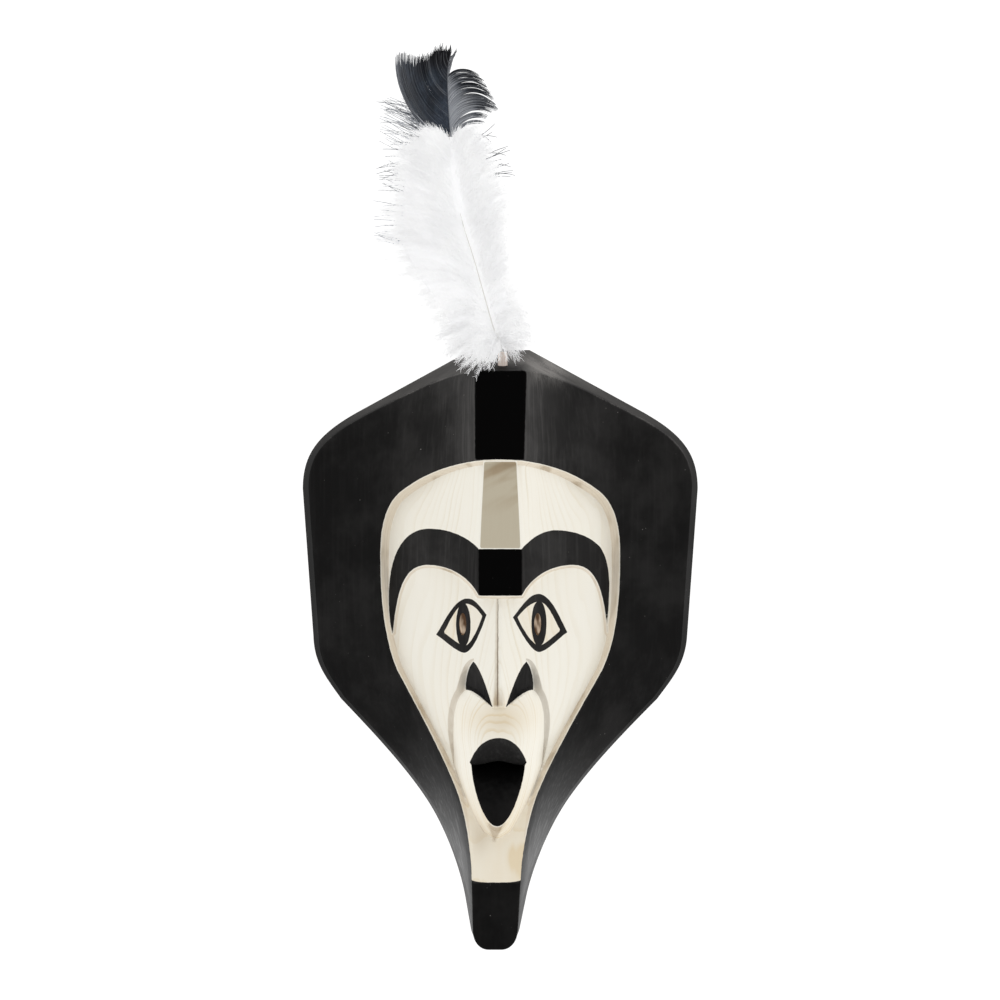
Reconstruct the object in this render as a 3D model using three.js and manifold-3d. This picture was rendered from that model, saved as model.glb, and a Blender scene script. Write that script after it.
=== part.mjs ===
// A carved wooden wind mask with a pointed hood, and the two feathers that stand in its crest.
//
// Millimetres. The mask lies on its back: +X is the viewer's right, +Y runs up the mask towards
// the feathers, and +Z is the way the face looks. The origin is on the flat back, behind the crest.
// The wood is one solid: its front is a surface of heights over the outline, worked out below from
// the carver's lines, and its back is hollowed for a wearer.
import * as THREE from "three";
import { mergeVertices } from "three/addons/utils/BufferGeometryUtils.js";
import Module from "manifold-3d";

const wasm = await Module();
wasm.setup();

// Heights above the back
const BAR_HEIGHT = 100; // flat top of the bar on the hood
const FOREHEAD_HEIGHT = 95; // the same bar where it enters the face
const BROW_HEIGHT = 101; // its lower end, over the nose
const NOSE_ROOT_HEIGHT = 94;
const NOSE_TIP_HEIGHT = 109;
const LIP_HEIGHT = 114; // the highest point, at the mouth
const CHIN_HEIGHT = 90;
const CHIN_END_HEIGHT = 81;
const SIDE_HEIGHT = 30; // thickness of the hood's outer edge
const LOW_SIDE_HEIGHT = 12; // the same beside the chin
const LEDGE_HEIGHT = 92; // the roof of the mouth, over its deepest place
const MOUTH_HEIGHT = 74; // the floor of the mouth, under that ledge
const HOLLOW_DEPTH = 72;

// Widths and places
const CREST_Y = 15;
const CREST_HALF = 23.4;
const BAR_HALF = 18;
const BAR_SPREAD = 30; // how fast the hood falls away beside the bar
const SIDE_FLARE = 0.21; // lean of the outer edge, as a slope
const BROW_Y = -178.4; // lower end of the bar
const BROW_WALL = 2.5;
const NOSE_TIP_Y = -263;
const NOSTRIL_Y = -251.5; // outer lower corner of a nostril
const NOSTRIL_WALL = 2.5;
const MUZZLE_END_Y = -309; // where the cheek's fold meets the rim
const LEDGE_WALL = 1.5;
const LEDGE_HALF = 15; // beyond this the ledge rises to the corners of the mouth
const MOUTH_HALF = 21.5;
const EYE = { x: 29, y: -201, halfWidth: 2.7, halfHeight: 8.5 };
const HOLLOW = { y: -184, half: 124, top: 152, bottom: 190 };
const PEG = { x: 1.9, z: 72, radius: 3.7, from: -16, to: 10, chamfer: 1, clearance: 0.3 };

const FLANK_TOP = -262; // below this the hood falls steeply from the face to the outline
const FLANK_END = -425;
const CHIN_Y = -459;
const LEAN_FROM = -214;
const CHIN_LEAN = -4.2;

// Spacing of the points that the surface is built on
const LINE_STEP = 5;
const FACE_STEP = 7.5;
const HOOD_STEP = 13;
const SEAM = 0.3; // gap between pieces that touch

// A line on the right half of the mask. A point of two numbers goes straight, one of six is a curve.
function line(start, ...points) {
  const path = new THREE.Path().moveTo(...start);
  for (const p of points) {
    if (p.length === 2) path.lineTo(...p);
    else path.bezierCurveTo(...p);
  }
  return path;
}

function sample(path, step) {
  const points = [path.curves[0].getPoint(0)];
  for (const curve of path.curves) {
    const n = Math.max(1, Math.round(curve.getLength() / step));
    for (let i = 1; i <= n; i++) points.push(curve.getPointAt(i / n));
  }
  return points;
}

// The outline on the back, from the crest round the shoulder and down to the chin
const OUTLINE = line(
  [0, CREST_Y],
  [CREST_HALF, CREST_Y],
  [112, -33.5],
  [146, -52, 158, -68, 158, -96],
  [149.5, -214],
  [148.5, -236, 138, -248, 126.4, -264],
  [103, -288, 74, -318, 56, -345],
  [40, -369, 28, -402, 24, -424],
  [20, -445],
  [18.6, -454, 15, -459, 8, -459],
  [0, CHIN_Y],
);
// The hood's inner edge round the face, which runs on as the edge of the chin
const RIM = line(
  [0, -74],
  [38, -74, 62, -86, 78, -98.5],
  [88, -106.5, 94, -122, 94, -146],
  [94, -178, 92, -212, 80, -238],
  [68, -260, 44, -300, 31, -331.6],
  [25, -347, 21.5, -366, 19.3, -386],
  [17.3, -439],
  [16.7, -446.5, 12, -452.7, 5, -452.7],
  [0, -452.7],
);
// The lower edge of the brows, from the bar out to the tail
const BROW = line(
  [0, BROW_Y],
  [16.5, BROW_Y],
  [22, -167, 36, -155.5, 56, -155.6],
  [74, -155.6, 81, -172, 84.3, -209],
);
// The fold that runs from a nostril round the muzzle: its edge on the cheek, and its foot
const FOLD_EDGE = line(
  [20.4, -227.5],
  [27.5, -228.5, 30.5, -241, 33.2, -252],
  [37, -257, 40.5, -270, 39, -285],
  [38.2, -293, 36.5, -301, 34.6, MUZZLE_END_Y],
);
const FOLD_FOOT = line(
  [20.4, -230],
  [24, -234, 26, -243, 25.8, NOSTRIL_Y],
  [31, -254, 35.3, -265, 35.3, -277],
  [35.4, -288, 35.5, -296, 34.4, MUZZLE_END_Y],
);
const NOSE_EDGE = line([20.4, -230], [16, -234, 11.5, -245, 5.5, NOSE_TIP_Y]);
const LIP_EDGE = line([25.8, NOSTRIL_Y], [21, -250.5, 15, -255, 5.5, NOSE_TIP_Y]);
const MUZZLE_SIDE = line([34.4, MUZZLE_END_Y], [30, -325, 21, -345, 10, -361], [0, -367]);
const MOUTH = line(
  [0, -286.8],
  [9, -286.8, 16.5, -292, 21.5, -306.3],
  [20.4, -308],
  [19, -326, 10, -354.2, 0, -354.2],
);
const LEDGE = line([21.5, -306.3], [17.5, -312, 9, -306, 0, -306]);

// A smooth curve through pairs of place along the mask and value, with the places falling
function profile(...pairs) {
  const slope = (i) => {
    const a = pairs[Math.max(i - 1, 0)];
    const b = pairs[Math.min(i + 1, pairs.length - 1)];
    return (b[1] - a[1]) / (b[0] - a[0]);
  };
  return (y) => {
    if (y >= pairs[0][0]) return pairs[0][1];
    const i = pairs.findIndex((p) => y >= p[0]);
    if (i < 0) return pairs[pairs.length - 1][1];
    const [y0, v0] = pairs[i - 1];
    const [y1, v1] = pairs[i];
    const t = (y - y0) / (y1 - y0);
    const h = y1 - y0;
    return (
      v0 * (1 + 2 * t) * (1 - t) ** 2 +
      slope(i - 1) * h * t * (1 - t) ** 2 +
      v1 * t * t * (3 - 2 * t) +
      slope(i) * h * t * t * (t - 1)
    );
  };
}

const rimHeight = profile(
  [-74, 45],
  [-150, 48],
  [-207, 51],
  [-259, 59],
  [-313, 73],
  [-350, 85],
  [-386, CHIN_HEIGHT],
  [-450, CHIN_END_HEIGHT],
);
const sideHeight = profile([-100, SIDE_HEIGHT], [-214, 28], [-264, 22], [-345, 14], [CHIN_Y, LOW_SIDE_HEIGHT]);
const rimStep = profile([-74, 5], [-95, 8], [-150, 9], [-205, 8], [-260, 5], [-313, 4], [-366, 0]);
const rimWidth = profile([-74, 3], [-95, 6], [-150, 6.3], [-205, 5], [-260, 3.8], [-330, 3.8], [-366, 1.5]);
const barHeight = profile([-74, FOREHEAD_HEIGHT], [BROW_Y, BROW_HEIGHT]);
const barHalf = profile([-74, 12.9], [-141, 16.1], [BROW_Y, 16.5]);
const noseHeight = profile([BROW_Y, NOSE_ROOT_HEIGHT], [-211, 98], [-249, 106], [NOSE_TIP_Y, NOSE_TIP_HEIGHT]);
const noseHalf = profile([BROW_Y, 0.7], [-235, 1], [NOSE_TIP_Y, 2.2]);
const lipHeight = profile(
  [-252, 97],
  [-264, 104],
  [-287, LIP_HEIGHT - 1],
  [-306, LIP_HEIGHT],
  [-354, 108],
  [-367, 99],
);
const nostrilDrop = profile([-230, 0], [-240, 6], [-252, 9], [NOSE_TIP_Y, 7]);
const foldDrop = profile([-230, 0], [-240, 6], [-251, 8], [-258, 3], [-300, 3], [-315, 0]);
// Below the face the carving leans a little to the viewer's left, as cut by hand
const lean = (y) => (CHIN_LEAN * Math.max(LEAN_FROM - y, 0)) / (LEAN_FROM - CHIN_Y);

const clamp01 = (v) => Math.min(Math.max(v, 0), 1);
const mix = (a, b, t) => a + (b - a) * t;
const smooth = (v) => clamp01(v) ** 2 * (3 - 2 * clamp01(v));

// Fine polylines of the lines above, for measuring distances and for telling inside from outside
const MEASURE_STEP = 2;
const fine = (path) => sample(path, MEASURE_STEP);
const closed = (...parts) => parts.flat();
const rimLine = fine(RIM);
const browLine = fine(BROW);
const foldEdgeLine = fine(FOLD_EDGE);
const foldFootLine = fine(FOLD_FOOT);
const noseLine = fine(NOSE_EDGE);
const lipLine = fine(LIP_EDGE);
const mouthLine = fine(MOUTH);
const ledgeLine = fine(LEDGE);
const noseTipLine = [new THREE.Vector2(0, NOSE_TIP_Y), new THREE.Vector2(5.5, NOSE_TIP_Y)];
const socketArea = closed(browLine, [new THREE.Vector2(200, -209), new THREE.Vector2(200, -500), new THREE.Vector2(0, -500)]);
const nostrilArea = closed(noseLine, lipLine.slice().reverse(), foldFootLine.filter((p) => p.y > NOSTRIL_Y).reverse());
const lipArea = closed(
  noseTipLine,
  lipLine.slice().reverse(),
  foldFootLine.filter((p) => p.y < NOSTRIL_Y),
  fine(MUZZLE_SIDE),
);
const foldArea = closed(noseLine, [new THREE.Vector2(0, NOSE_TIP_Y)], fine(MUZZLE_SIDE).reverse(), foldEdgeLine.slice().reverse());

function ellipse(x, y, halfWidth, halfHeight, count) {
  return Array.from({ length: count }, (_, i) => {
    const a = (i / count) * 2 * Math.PI;
    return new THREE.Vector2(x + halfWidth * Math.cos(a), y + halfHeight * Math.sin(a));
  });
}

function distance(x, y, points) {
  let best = Infinity;
  for (let i = 1; i < points.length; i++) {
    const a = points[i - 1];
    const dx = points[i].x - a.x;
    const dy = points[i].y - a.y;
    const along = clamp01(((x - a.x) * dx + (y - a.y) * dy) / (dx * dx + dy * dy || 1));
    best = Math.min(best, Math.hypot(x - a.x - along * dx, y - a.y - along * dy));
  }
  return best;
}

function inside(x, y, points) {
  let within = false;
  for (let i = 0, j = points.length - 1; i < points.length; j = i++) {
    const a = points[i];
    const b = points[j];
    if (a.y > y !== b.y > y && x < a.x + ((b.x - a.x) * (y - a.y)) / (b.y - a.y)) within = !within;
  }
  return within;
}

// Half-width of a line that falls steadily, at a place along the mask
function widthAt(y, points) {
  for (let i = 1; i < points.length; i++) {
    const a = points[i - 1];
    const b = points[i];
    if (a.y >= y && b.y <= y && a.y > b.y) return mix(a.x, b.x, (a.y - y) / (a.y - b.y));
  }
  return y > points[0].y ? points[0].x : 0.5;
}
const muzzleSideLine = [...foldFootLine.filter((p) => p.y < NOSTRIL_Y - 0.1), ...fine(MUZZLE_SIDE).slice(1)];

// How much of the bar's height the hood keeps beside it
function ridge(x, y) {
  return Math.exp(-Math.max(x - BAR_HALF, 0) / BAR_SPREAD) * smooth((y + 150) / 70);
}

function hood(x, y, toRim, toSide) {
  const share = toRim / (toRim + toSide || 1);
  const base = mix(sideHeight(y), rimHeight(y), (1 - share) ** 1.3);
  return mix(base, BAR_HEIGHT, ridge(x, y));
}

// Height of the face below the rim, falling from a crest along the middle to the rim's foot
function slopes(x, y, toRim, crest, crestHalf, power) {
  const top = hood(x, y, 0, 1);
  const foot = top - rimStep(y) * clamp01(toRim / rimWidth(y));
  const fromRim = Math.max(toRim - rimWidth(y), 0);
  const fromCrest = Math.max(x - crestHalf, 0);
  const share = fromRim / (fromRim + fromCrest || 1);
  return mix(foot, crest, share ** power);
}

function forehead(x, y, toRim) {
  return slopes(x, y, toRim, barHeight(y), barHalf(y), 1.15);
}

function cheek(x, y, toRim) {
  const crest = mix(rimHeight(y) - rimStep(y), noseHeight(y), smooth((y + 312) / 27));
  return slopes(x, y, toRim, crest, noseHalf(y), 1);
}

function lip(x, y, ground) {
  const share = Math.min(x / Math.max(widthAt(y, muzzleSideLine), 0.5), 1);
  return mix(lipHeight(y), ground - foldDrop(Math.min(y, -258)), share ** 2.4);
}

// The roof of the mouth falls to a ledge, and its floor rises again from under the ledge
function mouth(x, y, edge) {
  const toLedge = distance(x, y, ledgeLine);
  const share = toLedge / (toLedge + distance(x, y, mouthLine) || 1);
  const corner = clamp01((x - LEDGE_HALF) / (MOUTH_HALF - LEDGE_HALF)) ** 2;
  const roof = mix(mix(LEDGE_HEIGHT, edge, corner), edge, share ** 0.9);
  const floor = mix(mix(MOUTH_HEIGHT, edge, corner), edge, share ** 0.8);
  return mix(roof, floor, clamp01((ledgeY(x) - y) / LEDGE_WALL));
}

function ledgeY(x) {
  const i = ledgeLine.findIndex((p) => p.x <= x);
  if (i <= 0) return ledgeLine[0].y;
  const [a, b] = [ledgeLine[i - 1], ledgeLine[i]];
  return mix(a.y, b.y, (a.x - x) / (a.x - b.x));
}

function muzzle(x, y, ground) {
  if (inside(x, y, closed(mouthLine))) return mouth(x, y, lip(x, y, ground));
  if (inside(x, y, lipArea)) {
    const fromNose = clamp01(distance(x, y, noseTipLine) / 1.5);
    return x < 5.5 ? mix(Math.max(ground, lip(x, y, ground)), lip(x, y, ground), fromNose) : lip(x, y, ground);
  }
  if (inside(x, y, nostrilArea)) {
    return ground - nostrilDrop(y) * clamp01(distance(x, y, noseLine) / NOSTRIL_WALL);
  }
  const toEdge = distance(x, y, foldEdgeLine);
  const toFoot = distance(x, y, foldFootLine);
  return ground - foldDrop(y) * (toEdge / (toEdge + toFoot || 1));
}

// Height of the carved front over any place
function front(px, y) {
  const x = Math.max(Math.abs(px), 1e-4);
  const toRim = distance(x, y, rimLine);
  if (!inside(x, y, rimLine)) return hood(x, y, toRim, distance(x, y, sideLine));
  if (!inside(x, y, socketArea)) return forehead(x, y, toRim);
  const low = cheek(x, y, toRim);
  if (inside(x, y, foldArea)) return muzzle(x, y, low);
  const fromBrow = clamp01(distance(x, y, browLine) / BROW_WALL);
  return mix(forehead(x, y, toRim), low, fromBrow);
}

// The right half of a line and its mirror image, as one closed loop with no point twice
function bothSides(points) {
  const left = points.filter((p) => p.x > 1e-6).map((p) => new THREE.Vector2(-p.x, p.y));
  return [...points, ...left.reverse()];
}

// Moves each point of a closed loop inwards, square to the loop
function inset(loop, depth) {
  return loop.map((p, i) => {
    const before = loop[(i + loop.length - 1) % loop.length];
    const after = loop[(i + 1) % loop.length];
    const side = after.clone().sub(before).normalize();
    return new THREE.Vector2(p.x + side.y * depth(p, i), p.y - side.x * depth(p, i));
  });
}

// The outer edge leans in by the flare, more where it is higher, and the crest's end narrows to the bar
function leaned() {
  let top = backLoop;
  for (let pass = 0; pass < 6; pass++) {
    const height = top.map((p) => mix(sideHeight(p.y), BAR_HEIGHT, ridge(Math.abs(p.x), p.y)));
    top = inset(backLoop, (p, i) => SIDE_FLARE * height[i]);
  }
  const crestTop = CREST_Y - SIDE_FLARE * BAR_HEIGHT;
  return top.map((p, i) => {
    const onCrest = backLoop[i].y > CREST_Y - 0.1;
    return onCrest ? new THREE.Vector2((backLoop[i].x * BAR_HALF) / CREST_HALF, crestTop) : p;
  });
}

const backLoop = bothSides(sample(OUTLINE, LINE_STEP));
const sideLoop = leaned();
const sideLine = sideLoop.slice(0, Math.ceil(sideLoop.length / 2) + 1).filter((p) => p.x > -1e-6);

// Delaunay triangles of a set of points, worked from left to right
function delaunay(points) {
  const order = points.map((_, i) => i).sort((a, b) => points[a].x - points[b].x);
  const span = 1e5;
  const all = [...points, { x: 0, y: span }, { x: -span, y: -span }, { x: span, y: -span }];
  const circle = (a, b, c) => {
    const [A, B, C] = [all[a], all[b], all[c]];
    const [bx, by, cx, cy] = [B.x - A.x, B.y - A.y, C.x - A.x, C.y - A.y];
    const d = 2 * (bx * cy - by * cx);
    const b2 = bx * bx + by * by;
    const c2 = cx * cx + cy * cy;
    const x = (cy * b2 - by * c2) / d;
    const y = (bx * c2 - cx * b2) / d;
    return { a, b, c, x: A.x + x, y: A.y + y, r2: x * x + y * y };
  };
  const n = points.length;
  let open = [circle(n, n + 1, n + 2)];
  const done = [];
  for (const i of order) {
    const p = all[i];
    const edges = new Map();
    const kept = [];
    for (const t of open) {
      const dx = p.x - t.x;
      const dy = p.y - t.y;
      if (dx > 0 && dx * dx > t.r2) done.push(t);
      else if (dx * dx + dy * dy > t.r2 * (1 + 1e-12)) kept.push(t);
      else {
        for (const [u, v] of [[t.a, t.b], [t.b, t.c], [t.c, t.a]]) {
          const key = Math.min(u, v) * all.length + Math.max(u, v);
          if (edges.has(key)) edges.delete(key);
          else edges.set(key, [u, v]);
        }
      }
    }
    open = kept;
    for (const [u, v] of edges.values()) open.push(circle(u, v, i));
  }
  return [...done, ...open].filter((t) => Math.max(t.a, t.b, t.c) < n).map((t) => [t.a, t.b, t.c]);
}

// Heights of the rim's edge and foot, and of the outer edge
const rimTop = (x, y) => hood(Math.abs(x), y, 0, 1);
const rimFoot = (x, y) => rimTop(x, y) - rimStep(y);
const sideTop = (x, y) => hood(Math.abs(x), y, 1, 0);

// The places that the front is built on: the outer edge first, then the carved lines, then a mesh
function places() {
  const points = sideLoop.map((p) => p.clone());
  const heights = points.map((p) => sideTop(p.x, p.y));
  const spacing = points.map(() => LINE_STEP * 0.6);
  const links = points.map((_, i) => [i, (i + 1) % points.length]);
  const add = (line, gap, isClosed, height = front) => {
    const ids = line.map((p) => {
      const known = points.findIndex((q) => q.distanceTo(p) < 0.4);
      if (known >= 0) return known;
      points.push(p.clone());
      heights.push(height(p.x, p.y));
      spacing.push(gap * 0.6);
      return points.length - 1;
    });
    for (let i = 1; i < ids.length + (isClosed ? 1 : 0); i++) {
      const [u, v] = [ids[i - 1], ids[i % ids.length]];
      if (u !== v) links.push([u, v]);
    }
  };
  const addBoth = (line, gap = LINE_STEP, height = front) => {
    add(line, gap, false, height);
    add(line.map((p) => new THREE.Vector2(-p.x, p.y)), gap, false, height);
  };
  const rim = bothSides(sample(RIM, LINE_STEP));
  add(rim, LINE_STEP, true, rimTop);
  const foot = inset(rim, (p) => rimWidth(p.y)).filter((p) => p.x > -1e-6 && p.y > -350);
  addBoth(foot.sort((a, b) => b.y - a.y), LINE_STEP, rimFoot);
  const low = rim.filter((p) => p.x > 0 && p.y < FLANK_TOP && p.y > FLANK_END);
  for (const share of [0.25, 0.5, 0.75]) {
    addBoth(low.map((p) => new THREE.Vector2(mix(p.x, widthAt(p.y, sideLine), share), p.y)), 6);
  }
  const column = (from, to, half) =>
    Array.from({ length: 9 }, (_, i) => mix(from, to, i / 8)).map((y) => new THREE.Vector2(half(y), y));
  addBoth(column(sideLoop[0].y, -74, () => BAR_HALF).slice(1));
  addBoth(column(-77, BROW_Y, barHalf));
  addBoth(column(BROW_Y - BROW_WALL, NOSE_TIP_Y, noseHalf));
  const brow = sample(BROW, LINE_STEP);
  addBoth(brow);
  addBoth(inset(bothSides(brow), () => BROW_WALL).filter((p) => p.x > -1e-6 && p.y > -200).slice(1, -1), 4);
  for (const path of [FOLD_EDGE, FOLD_FOOT, NOSE_EDGE, LIP_EDGE, MUZZLE_SIDE, MOUTH]) addBoth(sample(path, 4), 3);
  addBoth(sample(NOSE_EDGE, 4).map((p) => new THREE.Vector2(p.x + 2.2, p.y + 0.5)).slice(1, -1), 2);
  addBoth([new THREE.Vector2(0, NOSE_TIP_Y - 1.5), new THREE.Vector2(5.5, NOSE_TIP_Y - 1.5)], 2);
  const ledge = sample(LEDGE, 4);
  addBoth(ledge);
  addBoth(ledge.map((p) => new THREE.Vector2(p.x, p.y - LEDGE_WALL)).slice(1), 2);
  for (const [step, wanted] of [[FACE_STEP, true], [HOOD_STEP, false]]) {
    for (let y = CREST_Y, row = 0; y > CHIN_Y; y -= step * 0.87, row++) {
      for (let x = (row % 2) * step * 0.5; x < 160; x += step) {
        if (inside(Math.max(x, 1e-3), y, rimLine) !== wanted || !inside(Math.max(x, 1e-3), y, sideLine)) continue;
        for (const side of x > 0 ? [x, -x] : [0]) {
          const p = new THREE.Vector2(side, y);
          if (points.every((q, i) => q.distanceTo(p) > Math.max(spacing[i], step * 0.55))) {
            points.push(p);
            heights.push(front(p.x, p.y));
            spacing.push(0);
          }
        }
      }
    }
  }
  return { points, heights, links };
}

// Triangles over the places that keep every carved line, by halving the stretches that are cut
function surface() {
  const { points, heights, links } = places();
  for (;;) {
    const triangles = delaunay(points);
    const found = new Set();
    for (const [a, b, c] of triangles) {
      for (const [u, v] of [[a, b], [b, c], [c, a]]) found.add(Math.min(u, v) + "," + Math.max(u, v));
    }
    const cut = links.filter(([u, v]) => !found.has(Math.min(u, v) + "," + Math.max(u, v)));
    const long = cut.filter(([u, v]) => points[u].distanceTo(points[v]) > 1.2);
    if (!long.length) return { points, heights, triangles };
    for (const link of long) {
      const [u, v] = link;
      points.push(points[u].clone().add(points[v]).multiplyScalar(0.5));
      heights.push((heights[u] + heights[v]) / 2);
      link[1] = points.length - 1;
      links.push([points.length - 1, v]);
    }
  }
}

function solidFrom(positions, indices) {
  const geometry = new THREE.BufferGeometry();
  geometry.setAttribute("position", new THREE.Float32BufferAttribute(positions, 3));
  geometry.setIndex(indices);
  return toSolid(geometry);
}

function toSolid(geometry) {
  const bare = geometry.clone();
  bare.deleteAttribute("normal");
  bare.deleteAttribute("uv");
  const merged = mergeVertices(bare, 1e-4);
  return new wasm.Manifold(
    new wasm.Mesh({
      numProp: 3,
      vertProperties: new Float32Array(merged.attributes.position.array),
      triVerts: new Uint32Array(merged.index.array),
    }),
  );
}

function toGeometry(solid) {
  const mesh = solid.getMesh();
  const geometry = new THREE.BufferGeometry();
  geometry.setAttribute("position", new THREE.BufferAttribute(mesh.vertProperties, 3));
  geometry.setIndex(new THREE.BufferAttribute(mesh.triVerts, 1));
  const flat = geometry.toNonIndexed();
  flat.computeVertexNormals();
  return flat;
}

// The blank: the carved front, the leaning sides and a flat back
function blank() {
  const { points, heights, triangles } = surface();
  const positions = points.flatMap((p, i) => [p.x + lean(p.y), p.y, heights[i]]);
  const rings = sideLoop.length;
  const indices = [];
  for (const [a, b, c] of triangles) {
    const [A, B, C] = [points[a], points[b], points[c]];
    if (!inside((A.x + B.x + C.x) / 3, (A.y + B.y + C.y) / 3, sideLoop)) continue;
    const left = (B.x - A.x) * (C.y - A.y) - (B.y - A.y) * (C.x - A.x) > 0;
    indices.push(...(left ? [a, b, c] : [a, c, b]));
  }
  const back = points.length;
  backLoop.forEach((p) => positions.push(p.x + lean(p.y), p.y, 0));
  for (let i = 0; i < rings; i++) {
    const j = (i + 1) % rings;
    indices.push(i, j, back + j, i, back + j, back + i);
  }
  for (const [a, b, c] of THREE.ShapeUtils.triangulateShape(backLoop, [])) indices.push(back + a, back + c, back + b);
  return solidFrom(positions, indices);
}

// The hollow behind the face, an egg that opens on the back
function hollow() {
  const rows = 22;
  const across = 16;
  const positions = [];
  const size = (u) => {
    const below = u < 0;
    const reach = Math.abs(u);
    const half = below ? (1 - reach ** 1.6) ** 0.75 : (1 - reach ** 2.4) ** 0.5;
    return [HOLLOW.half * half, HOLLOW_DEPTH * (1 - reach ** 4)];
  };
  for (let i = 0; i <= rows; i++) {
    const u = Math.sin(mix(-1.5, 1.42, i / rows));
    const [half, depth] = size(u);
    const y = HOLLOW.y + u * (u < 0 ? HOLLOW.bottom : HOLLOW.top);
    for (let j = 0; j <= across; j++) {
      const s = Math.sin(mix(-1, 1, j / across) * Math.PI * 0.5);
      positions.push(half * s, y, depth * (1 - Math.abs(s) ** 1.4));
    }
    positions.push(half, y, -5, -half, y, -5);
  }
  const ring = across + 3;
  const indices = [];
  for (let i = 0; i < rows; i++) {
    for (let j = 0; j < ring; j++) {
      const [a, b] = [i * ring + j, i * ring + ((j + 1) % ring)];
      indices.push(a, b, b + ring, a, b + ring, a + ring);
    }
  }
  for (let j = 1; j < ring - 1; j++) {
    indices.push(0, j + 1, j);
    const last = rows * ring;
    indices.push(last, last + j, last + j + 1);
  }
  return solidFrom(positions, indices);
}

// A straight cut through the wood, of an elliptical section
function slot(x, y, halfWidth, halfHeight, sides) {
  const cut = new THREE.CylinderGeometry(1, 1, 200, sides);
  cut.rotateX(Math.PI / 2);
  cut.scale(halfWidth, halfHeight, 1);
  cut.translate(x, y, 60);
  return toSolid(cut);
}

function socket() {
  const bore = new THREE.CylinderGeometry(PEG.radius + PEG.clearance, PEG.radius + PEG.clearance, 40, 24);
  bore.translate(PEG.x, PEG.from - SEAM + 20, PEG.z);
  return toSolid(bore);
}

function maskBody() {
  let wood = blank().subtract(hollow());
  for (const side of [-1, 1]) {
    wood = wood.subtract(slot(side * EYE.x, EYE.y, EYE.halfWidth, EYE.halfHeight, 12));
  }
  return toGeometry(wood.subtract(socket()));
}

// Feathers. A shaft is a curve from the peg up to the tip, and a vane is a flat solid round it.
const QUILL_RADIUS = 1;
const QUILL_DEPTH = 6;
const PLUME = { z: 78, bottom: 12, top: 181, thickness: 5 };
const DARK = { z: 66, thickness: 0.8 };
const plumeShaft = new THREE.CatmullRomCurve3([
  new THREE.Vector3(PEG.x - 0.4, PEG.to - QUILL_DEPTH, PEG.z + 1.6),
  new THREE.Vector3(PEG.x - 0.8, PEG.to + 2, PEG.z + 1.8),
  new THREE.Vector3(-5.8, 30, PLUME.z - 1),
  new THREE.Vector3(-19.4, 78, PLUME.z),
  new THREE.Vector3(-31, 117, PLUME.z),
  new THREE.Vector3(-37, 160, PLUME.z),
]);
const darkShaft = new THREE.CatmullRomCurve3([
  new THREE.Vector3(PEG.x + 0.4, PEG.to - QUILL_DEPTH, PEG.z - 1.6),
  new THREE.Vector3(PEG.x + 0.2, PEG.to + 2, PEG.z - 1.8),
  new THREE.Vector3(-5, 30, DARK.z + 1),
  new THREE.Vector3(-19, 78, DARK.z),
  new THREE.Vector3(-31, 117, DARK.z),
  new THREE.Vector3(-38, 175, DARK.z),
  new THREE.Vector3(-40.5, 222, DARK.z),
]);

function tube(curve, radius, steps, sides) {
  const section = new THREE.Shape(ellipse(0, 0, radius, radius, sides));
  return toSolid(new THREE.ExtrudeGeometry(section, { steps, extrudePath: curve, bevelEnabled: false }));
}

// A closed skin over rings of points, each with as many, with a fan on each end
function loft(rings) {
  const count = rings[0].length;
  const positions = rings.flat().flatMap((p) => [p.x, p.y, p.z]);
  const indices = [];
  for (let i = 0; i + 1 < rings.length; i++) {
    for (let j = 0; j < count; j++) {
      const [a, b] = [i * count + j, i * count + ((j + 1) % count)];
      indices.push(a, b, b + count, a, b + count, a + count);
    }
  }
  const last = (rings.length - 1) * count;
  for (let j = 1; j + 1 < count; j++) {
    indices.push(0, j + 1, j);
    indices.push(last, last + j, last + j + 1);
  }
  return solidFrom(positions, indices);
}

// The down of the white plume: a soft lens whose middle and half-width change along its length
const plumeMiddle = profile([181, -42], [160, -40], [107, -40], [78, -32], [47, -16], [12, -9]);
const plumeHalf = profile([181, 24], [165, 39], [135, 45], [107, 46.5], [78, 42], [47, 36], [22, 32], [12, 22]);

function plume() {
  const rings = [];
  const lengthwise = 16;
  for (let i = 0; i <= lengthwise; i++) {
    const y = mix(PLUME.bottom, PLUME.top, i / lengthwise);
    const end = Math.sqrt(Math.sin(mix(0.12, 0.94, i / lengthwise) * Math.PI));
    const ring = ellipse(plumeMiddle(y), 0, plumeHalf(y), PLUME.thickness * end, 20);
    rings.push(ring.map((p) => new THREE.Vector3(p.x, y, PLUME.z - p.y)));
  }
  return toGeometry(loft(rings).add(tube(plumeShaft, QUILL_RADIUS, 24, 8)));
}

// The dark feather's vanes: a broad one to the left of the shaft and a curled one to the right
const DARK_VANES = [
  line([-31, 112], [-62, 140], [-80, 180, -84, 214, -83, 240], [-74, 246, -56, 246, -37, 248], [-42, 210, -36, 140, -31, 112]),
  line([-31, 112], [-36, 140, -41, 195, -41, 224], [-30, 238, -8, 228, -1.5, 201], [-8, 180, -16, 150, -31, 112]),
];

function darkFeather() {
  let solid = tube(darkShaft, QUILL_RADIUS, 30, 8);
  for (const outline of DARK_VANES) {
    const shape = new THREE.Shape(sample(outline, 8).slice(0, -1));
    const vane = new THREE.ExtrudeGeometry(shape, { depth: 2 * DARK.thickness, bevelEnabled: false });
    vane.translate(0, 0, DARK.z - DARK.thickness);
    solid = solid.add(toSolid(vane));
  }
  return toGeometry(solid);
}

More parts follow.
